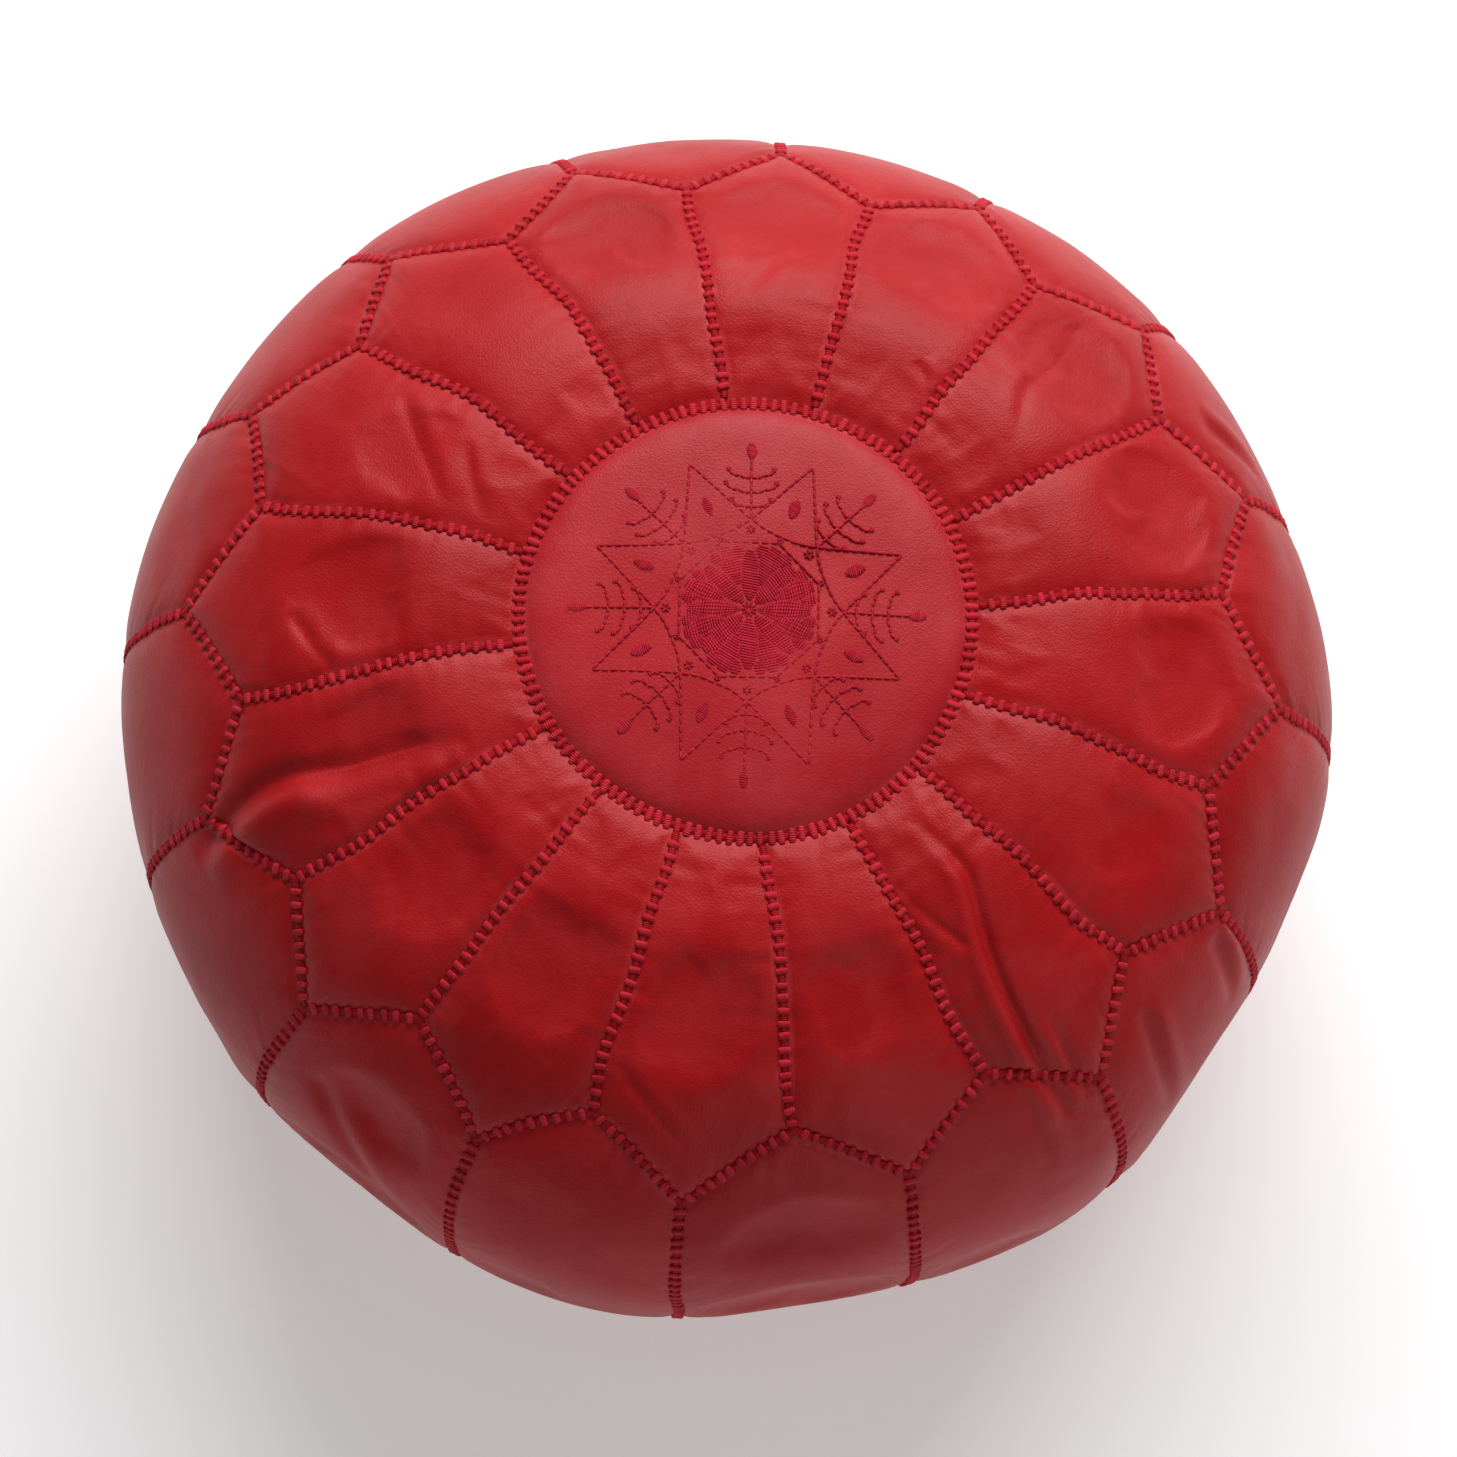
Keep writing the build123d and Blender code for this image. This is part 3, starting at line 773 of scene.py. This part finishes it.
def make_medallion(leather):
    """A closed round panel of rings of points, with its edge rolled down into the seam."""
    radius = np.linspace(0, MEDALLION_RIM, MEDALLION_RINGS + 1)[1:, None]
    angle = np.linspace(0, 2 * pi, MEDALLION_SECTORS, endpoint=False)
    grid, normal = on_medallion(radius + 0 * angle, angle)
    detail = 0.35 * MM * waves(grid, 60 * MM, 63)
    grid = push_out(grid, normal, detail * smooth_step(MEDALLION_RIM - radius, 0, 3 * MM))
    rolls = rolled_edge(grid[-1], unit(grid[-2] - grid[-1]), unit(normal[-1]), ROLL,
                        1.5 * ROLL, ROLL + FLANGE, LEATHER)
    back = grid - unit(normal) * LEATHER
    points, polygons = closed_surface(join(grid, np.stack(rolls), back[::-1]))
    edge = np.zeros(len(points))
    edge[:radius.size * angle.size] = (norm(grid - grid[-1], axis=2) + ROLL).ravel()
    edge[-2:] = FAR
    tint = np.full(len(points), MEDALLION_TINT)
    piece = make_mesh("medallion_leather", points, polygons, {"edge": edge, "tint": tint})
    dress(piece, leather)
    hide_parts("medallion")


# ---- embroidery

# The motif is drawn on a disc of radius 1, the medallion's edge; a stitch is two points
MOTIF_TURN = radians(1.6)
ROSETTE_SIZE = 1.2
OUTLINE_THREAD = 0.55 * MM
SATIN_THREAD = 0.52 * MM
SATIN_PITCH = 0.0105
SATIN_SLANT = 0.05
LEAF_END = 0.004
LINE_STITCH = 0.036
ROSETTE_LEAVES = [(0.035, 0.245, 0.105, 0), (0.105, 0.272, 0.115, 22.5),
                  (0.205, 0.262, 0.060, 11.25), (0.205, 0.262, 0.060, -11.25)]
BRANCH = np.array([(0, 0), (-0.006, 0.030), (0.010, 0.062), (0.012, 0.092), (0.034, 0.118)])


def polar(radius, degrees):
    return radius * cos(radians(degrees)), radius * sin(radians(degrees))


def turned(points, degrees):
    """Points of the motif turned about its middle."""
    turn = radians(degrees)
    spin = np.array([[cos(turn), sin(turn)], [-sin(turn), cos(turn)]])
    return np.asarray(points, float) @ spin


def back_stitches(path, length):
    """A line of the motif as stitches with small gaps between."""
    along = distances(path)
    knots = np.linspace(0, along[-1], max(int(round(along[-1] / length)), 1) + 1)
    gap = 0.02 * length
    starts, ends = (sample_line(at, along, path) for at in (knots[:-1] + gap, knots[1:] - gap))
    return np.stack([starts, ends], axis=1)


def satin_leaf(start, end, width):
    """A leaf filled with stitches laid side by side across it."""
    start = np.asarray(start, float)
    axis = end - start
    length = norm(axis)
    across = np.array([-axis[1], axis[0]]) / length
    share = (np.arange(int(length / SATIN_PITCH)) + 0.5) * SATIN_PITCH / length
    half = width / 2 * np.sin(pi * share) ** 0.8 + LEAF_END
    middle = start + axis * share[:, None]
    reach = across * half[:, None] + SATIN_SLANT * axis * (half / half.max())[:, None]
    return np.stack([middle - reach, middle + reach], axis=1)


def sprig_stitches():
    """A sprig on the +X axis: a stem, three pairs of branches with leaves, and a bud."""
    sets = [back_stitches(np.array([[0.43, 0], [0.74, 0]]), LINE_STITCH)]
    for start, size in ((0.49, 0.75), (0.565, 1.0), (0.64, 0.9)):
        for side in (1, -1):
            branch = (start, 0) + size * BRANCH * (1, side)
            sets.append(back_stitches(smooth_line(branch), 0.030))
            sets.append(satin_leaf(branch[-1], branch[-1] + (0.022, 0.004 * side), 0.020))
    sets.append(satin_leaf((0.735, 0), (0.825, 0), 0.046))
    return join(*sets)


def floret_stitches(radius, size):
    """A small flower of stitches that fan out from one point on the +X axis."""
    spokes = np.array([polar(size, 60 * k) for k in range(6)])
    return (radius, 0) + np.stack([0.2 * spokes, spokes], axis=1)


def rosette_stitches():
    """The filled flower in the middle: rings of leaves inside an octagon."""
    corners = np.array([polar(0.285, 22.5 + 45 * k) for k in range(9)])
    sets = [back_stitches(corners[k:k + 2], LINE_STITCH) for k in range(8)]
    for k in range(8):
        for start, end, width, turn in ROSETTE_LEAVES:
            sets.append(turned(satin_leaf((start, 0), (end, 0), width), 45 * k + turn))
    for k in range(10):
        sets.append(turned([[(0.004, 0), (0.034, 0)]], 36 * k))
    return ROSETTE_SIZE * join(*sets)


def motif_stitches():
    """All the stitches of the medallion, as outline ones and satin ones. The star is eight
    curves that each join two of its tips a quarter turn apart."""
    curve = smooth_line([polar(0.76, 112.5), polar(0.43, 90), polar(0.375, 67.5),
                         polar(0.43, 45), polar(0.76, 22.5)])
    lines = [back_stitches(turned(curve, 45 * k), 0.040) for k in range(8)]
    fills = [rosette_stitches()]
    for k in range(8):
        lines.append(turned(sprig_stitches(), 45 * k))
        fills.append(turned(floret_stitches(0.378, 0.024), 45 * k))
        fills.append(turned(floret_stitches(0.352, 0.015), 45 * k + 22.5))
        fills.append(turned(satin_leaf((0.475, 0), (0.57, 0), 0.052), 45 * k + 22.5))
    return join(*lines), join(*fills)


def sew_motif(name, stitches, radius, thread):
    """Stitches of the motif as thread on the medallion's face."""
    radii = norm(stitches, axis=2) * MEDALLION_EDGE
    angles = np.arctan2(stitches[..., 1], stitches[..., 0]) + MOTIF_TURN
    ends, normals = on_medallion(radii, angles, 0.12 * MM)
    along = ends[:, 1] - ends[:, 0]
    half = norm(along, axis=1) / 2 + radius * 0.3
    thick = radius * rng.uniform(0.88, 1.12, len(stitches))
    piece = thread_bits(name, ends.mean(axis=1), along, unit(normals.mean(axis=1)), half, thick,
                        0.15 * MM, 0.7 * MM, around=6, rings=7)
    dress(piece, thread)


# ---- underside

BASE_ROLL = 0.9 * MM
BASE_ROWS, BASE_COLUMNS = 60, 150
SLOT_HALF_WIDTH = 7.5 * MM
SLOT_HALF_LENGTH = 113 * MM
BASE_CORNER = radians(3)
ZIP_STITCH_INSET = 3.2 * MM
ZIP_STITCH_PITCH = 4.2 * MM


def make_base(leather, thread):
    """The base's two halves, with the slot of the zip between them and a little slack."""
    reach = BASE_RING_RADIUS - SEAM_GAP - BASE_ROLL
    for side, node in ((1, "base_disc_left"), (-1, "base_disc_right")):
        turn = np.linspace(pi - BASE_CORNER, BASE_CORNER, BASE_COLUMNS)
        x = reach * np.cos(turn)
        beyond = smooth_step(np.abs(x), SLOT_HALF_LENGTH - 2 * MM, SLOT_HALF_LENGTH + 2 * MM)
        near = SLOT_HALF_WIDTH * (1 - beyond) + (BASE_ROLL + SEAM_GAP) * beyond
        near = near + BASE_ROLL * (np.abs(x) < SLOT_HALF_LENGTH)
        far = np.maximum(reach * np.sin(turn), near + 2 * MM)
        y = near + (far - near) * np.linspace(0, 1, BASE_ROWS)[:, None]
        flat = np.stack([x + 0 * y, side * y, np.full(y.shape, BASE_FLOOR)], axis=-1)
        slack = 0.5 * MM * waves(flat, 70 * MM, 71) + 0.16 * MM * waves(flat, 12 * MM, 72)
        flat[..., 2] += (slack - 0.6 * MM) * smooth_step(edge_distance(flat), 0, 8 * MM)
        outward = np.broadcast_to((0, 0, -1.0), flat.shape)
        piece = leather_panel(node + "_leather", flat, outward, rng.uniform(0, 1),
                              roll=BASE_ROLL, flange=0.0)
        dress(piece, leather)
        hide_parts(node)
    make_zip_stitches(thread)


def make_zip_stitches(thread):
    """One row of small stitches along each side of the zip, through leather and tape."""
    reach = SLOT_HALF_LENGTH - 4 * MM
    off = SLOT_HALF_WIDTH + ZIP_STITCH_INSET
    x, y = np.meshgrid(np.arange(-reach, reach, ZIP_STITCH_PITCH), (off, -off))
    centres = np.stack([x.ravel(), y.ravel(), np.full(x.size, BASE_FLOOR)], axis=1)
    along = np.broadcast_to((1.0, 0, 0), centres.shape)
    down = np.broadcast_to((0, 0, -1.0), centres.shape)
    piece = thread_bits("zip_stitches", centres, along, down, 1.7 * MM, 0.45 * MM, 0.3 * MM,
                        1.0 * MM, around=8, rings=7)
    dress(piece, thread)


# ---- inside

LINER_INSET = 16 * MM
LINER_CLOTH = 0.8 * MM
STUFFING_INSET = 19 * MM
BAG_FLOOR = 22 * MM
BAG_WALL_RINGS = 92
BAG_FLOOR_RINGS = 18
BAG_SECTORS = 220


def bag_surface(inset, floor, rough):
    """Rings of points inside the wall, from the top's middle to the base's."""
    runs = join(np.linspace(2 * MM, run_below(165 * MM), BAG_WALL_RINGS),
                np.linspace(run_below(115 * MM), END_RUN - 2 * MM, BAG_FLOOR_RINGS))
    angle = np.linspace(0, 2 * pi, BAG_SECTORS, endpoint=False)
    smooth, normal = wall(angle, runs[:, None] + 0 * angle, -inset)
    grid = smooth - normal * rough(smooth)[..., None]
    grid[..., 2] = np.maximum(grid[..., 2], floor + rough(smooth * 0.9))
    return grid


def cloth_wrinkles(points):
    ridges = 1 - np.abs(waves(points, 42 * MM, 81))
    return 1.3 * MM * np.clip(ridges, -1, 1) * smooth_step(waves(points, 90 * MM, 82), -0.5, 0.6)


def tufts(points):
    return 1.6 * MM * (1.2 + waves(points, 38 * MM, 83) + 0.5 * waves(points, 14 * MM, 84))


def make_inside(cotton, filling):
    outer = bag_surface(LINER_INSET, BAG_FLOOR, cloth_wrinkles)
    inner = bag_surface(LINER_INSET + LINER_CLOTH, BAG_FLOOR + LINER_CLOTH, cloth_wrinkles)
    points_out, faces_out = closed_surface(outer)
    points_in, faces_in = closed_surface(inner, first=len(points_out), inside_out=True)
    liner = make_mesh("liner_bag_cloth", join(points_out, points_in), faces_out + faces_in)
    dress(liner, cotton)
    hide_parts("liner_bag")
    points, faces = closed_surface(bag_surface(STUFFING_INSET, BAG_FLOOR + 4 * MM, tufts))
    wad = make_mesh("stuffing_wad", points, faces)
    dress(wad, filling)
    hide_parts("stuffing")


# ---- materials

# A wave texture of this scale over a length has about one band in that length
WAVE_BANDS = 0.318


class Look:
    """A node material as it is built, with coordinates in metres on the piece."""

    def __init__(self, name):
        self.material = bpy.data.materials.new(name)
        self.material.use_nodes = True
        self.tree = self.material.node_tree
        self.place = self.add("TexCoord", {}, "Object")

    def feed(self, node, inputs):
        """Set a node's inputs to values, or link them to sockets."""
        for key, value in inputs.items():
            if isinstance(value, bpy.types.NodeSocket):
                self.tree.links.new(value, node.inputs[key])
            else:
                node.inputs[key].default_value = value

    def add(self, kind, inputs, output=0, **settings):
        """A new node's output."""
        node = self.tree.nodes.new("ShaderNode" + kind)
        for key, value in settings.items():
            setattr(node, key, value)
        self.feed(node, inputs)
        return node.outputs[output]

    def noise(self, scale, detail=3.0, roughness=0.55, distortion=0.0, place=None):
        inputs = {"Vector": place or self.place, "Scale": scale, "Detail": detail,
                  "Roughness": roughness, "Distortion": distortion}
        return self.add("TexNoise", inputs, "Fac")

    def ranged(self, value, low, high, to_low=0.0, to_high=1.0):
        inputs = {"Value": value, "From Min": low, "From Max": high, "To Min": to_low,
                  "To Max": to_high}
        return self.add("MapRange", inputs, "Result")

    def blend(self, factor, first, second):
        return self.add("Mix", {0: factor, 6: first, 7: second}, 2, data_type="RGBA")

    def math(self, operation, *values):
        return self.add("Math", dict(enumerate(values)), operation=operation)

    def field(self, name):
        return self.add("Attribute", {}, "Fac", attribute_name=name)

    def bumps(self, *layers):
        """A normal from layers of a height, a strength and a distance."""
        normal = {}
        for height, strength, distance in layers:
            inputs = {"Height": height, "Strength": strength, "Distance": distance, **normal}
            normal = {"Normal": self.add("Bump", inputs, "Normal")}
        return normal["Normal"]

    def shade(self, base, roughness, **others):
        """Set the main shader; its other inputs are named with _ for a space."""
        inputs = {key.replace("_", " "): value for key, value in others.items()}
        self.feed(self.tree.nodes["Principled BSDF"],
                  {"Base Color": base, "Roughness": roughness, **inputs})
        return self.material


def colours(*screen):
    """Colours given as 0-255 screen values, as the shader's linear numbers."""
    return [(*((c / 255 / 12.92 if c <= 10.3 else ((c / 255 + 0.055) / 1.055) ** 2.4)
               for c in one), 1.0) for one in screen]


def leather_material(name, deep, bright, pale):
    """Dyed goat leather: blotchy dye, painted shade that darkens it towards the seams, and paler
    along the panel edges, partly from wear and partly a painted highlight on the rolled rims. Each
    panel has its own tint, which also moves its pattern."""
    deep, bright, pale, dark = colours(deep, bright, pale, (122, 4, 14))
    look = Look(name)
    tint = look.field("tint")
    shift = look.add("VectorMath", {0: (3.1, 1.7, 2.3), "Scale": tint}, operation="SCALE")
    look.place = look.add("VectorMath", {0: look.place, 1: shift}, operation="ADD")
    blotches = look.ranged(look.noise(9, 3.0, 0.5, 0.3), 0.3, 0.75)
    base = look.blend(blotches, deep, bright)
    base = look.blend(look.ranged(tint, 0, 1, 0, 0.35), base, deep)
    cloudy = look.ranged(look.noise(30, 4.0, 0.6, 0.4), 0.42, 0.75, 0, 0.22)
    base = look.blend(cloudy, base, pale)
    specks = look.ranged(look.noise(520, 2.0, 0.5), 0.35, 0.75, 0, 0.22)
    base = look.blend(specks, base, deep)
    # Paler along the panel edges, in patches: partly wear, partly a painted highlight where the
    # rolled rims catch the light.
    edge = look.field("edge")
    rim_wear_and_highlight = look.ranged(edge, 1.2 * MM, 5.0 * MM, 1, 0)
    patchy = look.ranged(look.noise(34), 0.44, 0.62)
    wear_and_highlight = look.math("MULTIPLY", look.math("MULTIPLY", rim_wear_and_highlight, patchy), 0.62)
    # Painted shade: within a few millimetres of a seam the colour is pulled towards the deep red
    # (122, 4, 14), standing in for the shade in the seam's groove.
    seam = look.ranged(edge, 0.8 * MM, 3.6 * MM, 0.6, 0)
    base = look.blend(seam, base, dark)
    base = look.blend(wear_and_highlight, base, pale)
    rough = look.ranged(look.noise(24, 3.0, 0.5, 0.3), 0.3, 0.7, 0.42, 0.48)
    cells = {"Vector": look.place, "Scale": 620.0, "Randomness": 1.0}
    grain = look.add("TexVoronoi", cells, "Distance", feature="DISTANCE_TO_EDGE")
    normal = look.bumps((look.noise(85, 6.0, 0.62, 1.4), 0.12, 1.6 * MM),
                        (look.ranged(grain, 0, 0.28), 0.28, 0.25 * MM),
                        (look.noise(1400, 2.0), 0.18, 0.12 * MM))
    return look.shade(base, rough, Specular_IOR_Level=0.18, Normal=normal)


def thread_material(name, deep, bright):
    """Twisted waxed thread: fine fibres round each stitch, and a tint of its own."""
    deep, bright = colours(deep, bright)
    look = Look(name)
    fibres = look.noise(2600, 2.0)
    base = look.blend(look.field("tint"), deep, bright)
    base = look.blend(look.ranged(fibres, 0.4, 0.75, 0, 0.4), base, deep)
    grime = look.ranged(look.noise(45), 0.45, 0.7, 0, 0.35)
    base = look.blend(grime, base, tuple(c * 0.5 for c in deep[:3]) + (1.0,))
    strands = look.math("SINE", look.math("MULTIPLY", look.field("twist"), 26.0))
    normal = look.bumps((strands, 0.5, 0.2 * MM), (fibres, 0.35, 0.15 * MM))
    return look.shade(base, look.ranged(fibres, 0.3, 0.7, 0.48, 0.68),
                      Specular_IOR_Level=0.15, Normal=normal)


def woven_material(name, pale, dark, pitch, roughness):
    """Plain woven cloth: crossed threads at a pitch in metres, with uneven dye."""
    pale, dark = colours(pale, dark)
    look = Look(name)
    wave = {"Vector": look.place, "Scale": WAVE_BANDS / pitch, "Distortion": 0.6, "Detail": 1.0}
    threads = [look.add("TexWave", wave, "Fac", bands_direction=axis) for axis in "XY"]
    weave = look.math("MAXIMUM", *threads)
    uneven = look.ranged(look.noise(30, 4.0), 0.35, 0.7, 0, 0.45)
    base = look.blend(uneven, pale, dark)
    base = look.blend(look.ranged(weave, 0.35, 0.8, 0.55, 0), base, dark)
    normal = look.bumps((weave, 0.6, pitch * 0.4), (look.noise(1500, 2.0), 0.3, 0.1 * MM))
    return look.shade(base, look.ranged(weave, 0, 1, roughness + 0.1, roughness),
                      Sheen_Weight=0.2, Normal=normal)


def stuffing_material():
    """Loose off-white fibre."""
    look = Look("stuffing_fibre")
    clumps = look.ranged(look.noise(40, 6.0, 0.7, 2.0), 0.3, 0.7)
    base = look.blend(clumps, *colours((205, 196, 178), (238, 233, 220)))
    strands = look.noise(420, 5.0, 0.7, 3.0)
    return look.shade(base, look.ranged(strands, 0.3, 0.7, 0.8, 0.95), Sheen_Weight=0.4,
                      Normal=look.bumps((strands, 0.8, 1.2 * MM)))


def brass_material():
    """Yellow brass, dulled, with fine scratches."""
    look = Look("zip_brass_worn")
    dull = look.ranged(look.noise(160, 4.0, 0.6), 0.35, 0.7)
    base = look.blend(dull, *colours((196, 158, 84), (140, 106, 52)))
    stretched = look.add("Mapping", {"Vector": look.place, "Scale": (300.0, 3500.0, 3500.0)})
    scratches = look.noise(1.0, place=stretched)
    return look.shade(base, look.ranged(scratches, 0.3, 0.7, 0.24, 0.42), Metallic=1.0,
                      Normal=look.bumps((scratches, 0.25, 0.05 * MM)))


def floor_material():
    look = Look("studio_floor")
    faint = look.ranged(look.noise(3, 2.0), 0.3, 0.7)
    base = look.blend(faint, (0.80, 0.80, 0.80, 1), (0.84, 0.84, 0.84, 1))
    # The floor glows a little: painted light that lifts the shadows on the floor and also lights
    # the pouf from below.
    return look.shade(base, 0.9, Emission_Color=(1, 1, 1, 1), Emission_Strength=0.3)


def dress_zip():
    """Give the zip's CAD nodes their materials."""
    tape = woven_material("zip_tape_weave", (112, 18, 22), (58, 8, 12), 0.55 * MM, 0.75)
    brass = brass_material()
    for node in ("zip_tape_left", "zip_tape_right", "zip_teeth_left", "zip_teeth_right",
                 "zip_top_stops", "zip_bottom_stops", "zip_slider", "zip_pull"):
        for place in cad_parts[node].material_slots:
            place.material = tape if "tape" in node else brass


# ---- floor, light and camera

FLOOR_HALF = 4.0
TARGET_HEIGHT = 157 * MM
CAMERA_DISTANCE = 2.008
CAMERA_ELEVATION = radians(76.3)
CAMERA_ROLL = radians(3.1)
CAMERA_LENS = 109.2
SENSOR = 36.0
CAMERA_SHIFT = (0.001, -0.0073)


def make_floor():
    corners = FLOOR_HALF * np.array([(-1, -1, 0), (1, -1, 0), (1, 1, 0), (-1, 1, 0)])
    floor = make_mesh("floor", corners, [np.array([[0, 1, 2, 3]])])
    floor.data.materials.append(floor_material())


def area_light(name, place, aim, size, watts):
    light = bpy.data.lights.new(name, "AREA")
    light.shape = "RECTANGLE"
    light.size, light.size_y = size
    light.energy = watts
    lamp = new_object(name, light)
    lamp.location = place
    lamp.rotation_euler = (Vector(aim) - Vector(place)).to_track_quat("-Z", "Y").to_euler()


def make_light():
    area_light("window", (0.25, 1.95, 2.0), (0, 0, 0.2), (2.8, 1.2), 106)
    area_light("fill", (0.9, -2.0, 1.1), (0, 0, 0.15), (1.6, 1.0), 9)
    world = bpy.data.worlds.new("studio")
    world.use_nodes = True
    sky = world.node_tree.nodes["Background"]
    sky.inputs["Color"].default_value = (1, 1, 1, 1)
    sky.inputs["Strength"].default_value = 0.18
    bpy.context.scene.world = world
    bpy.context.scene.view_settings.view_transform = "Standard"


def make_camera():
    """A camera above the front, turned a little about its own line of sight."""
    back = Vector((0, -cos(CAMERA_ELEVATION), sin(CAMERA_ELEVATION)))
    level = Vector((1, 0, 0))
    right = level * cos(CAMERA_ROLL) + back.cross(level) * sin(CAMERA_ROLL)
    pose = Matrix((right, back.cross(right), back)).transposed().to_4x4()
    pose.translation = Vector((0, 0, TARGET_HEIGHT)) + back * CAMERA_DISTANCE
    lens = bpy.data.cameras.new("camera")
    lens.lens = CAMERA_LENS
    lens.sensor_width = SENSOR
    lens.shift_x, lens.shift_y = CAMERA_SHIFT
    camera = new_object("camera", lens)
    camera.matrix_world = pose
    bpy.context.scene.camera = camera


# ---- the whole pouf

make_camera()
red = leather_material("goat_leather_red", (154, 10, 15), (174, 17, 22), (204, 68, 72))
red_disc = leather_material("medallion_leather_red", (154, 18, 26), (186, 38, 46), (208, 84, 90))
crimson = thread_material("waxed_thread_crimson", (156, 4, 18), (198, 38, 54))
outline_thread = thread_material("embroidery_outline", (176, 24, 42), (196, 40, 56))
satin_thread = thread_material("embroidery_satin", (172, 16, 40), (192, 34, 58))
cotton = woven_material("liner_cotton_weave", (226, 218, 198), (176, 166, 146), 0.7 * MM, 0.8)
make_cover(red)
make_medallion(red_disc)
outlines, fills = motif_stitches()
sew_motif("medallion_outline_embroidery", outlines, OUTLINE_THREAD, outline_thread)
sew_motif("medallion_satin_embroidery", fills, SATIN_THREAD, satin_thread)
make_laces(crimson)
make_base(red, crimson)
make_inside(cotton, stuffing_material())
dress_zip()
make_floor()
make_light()
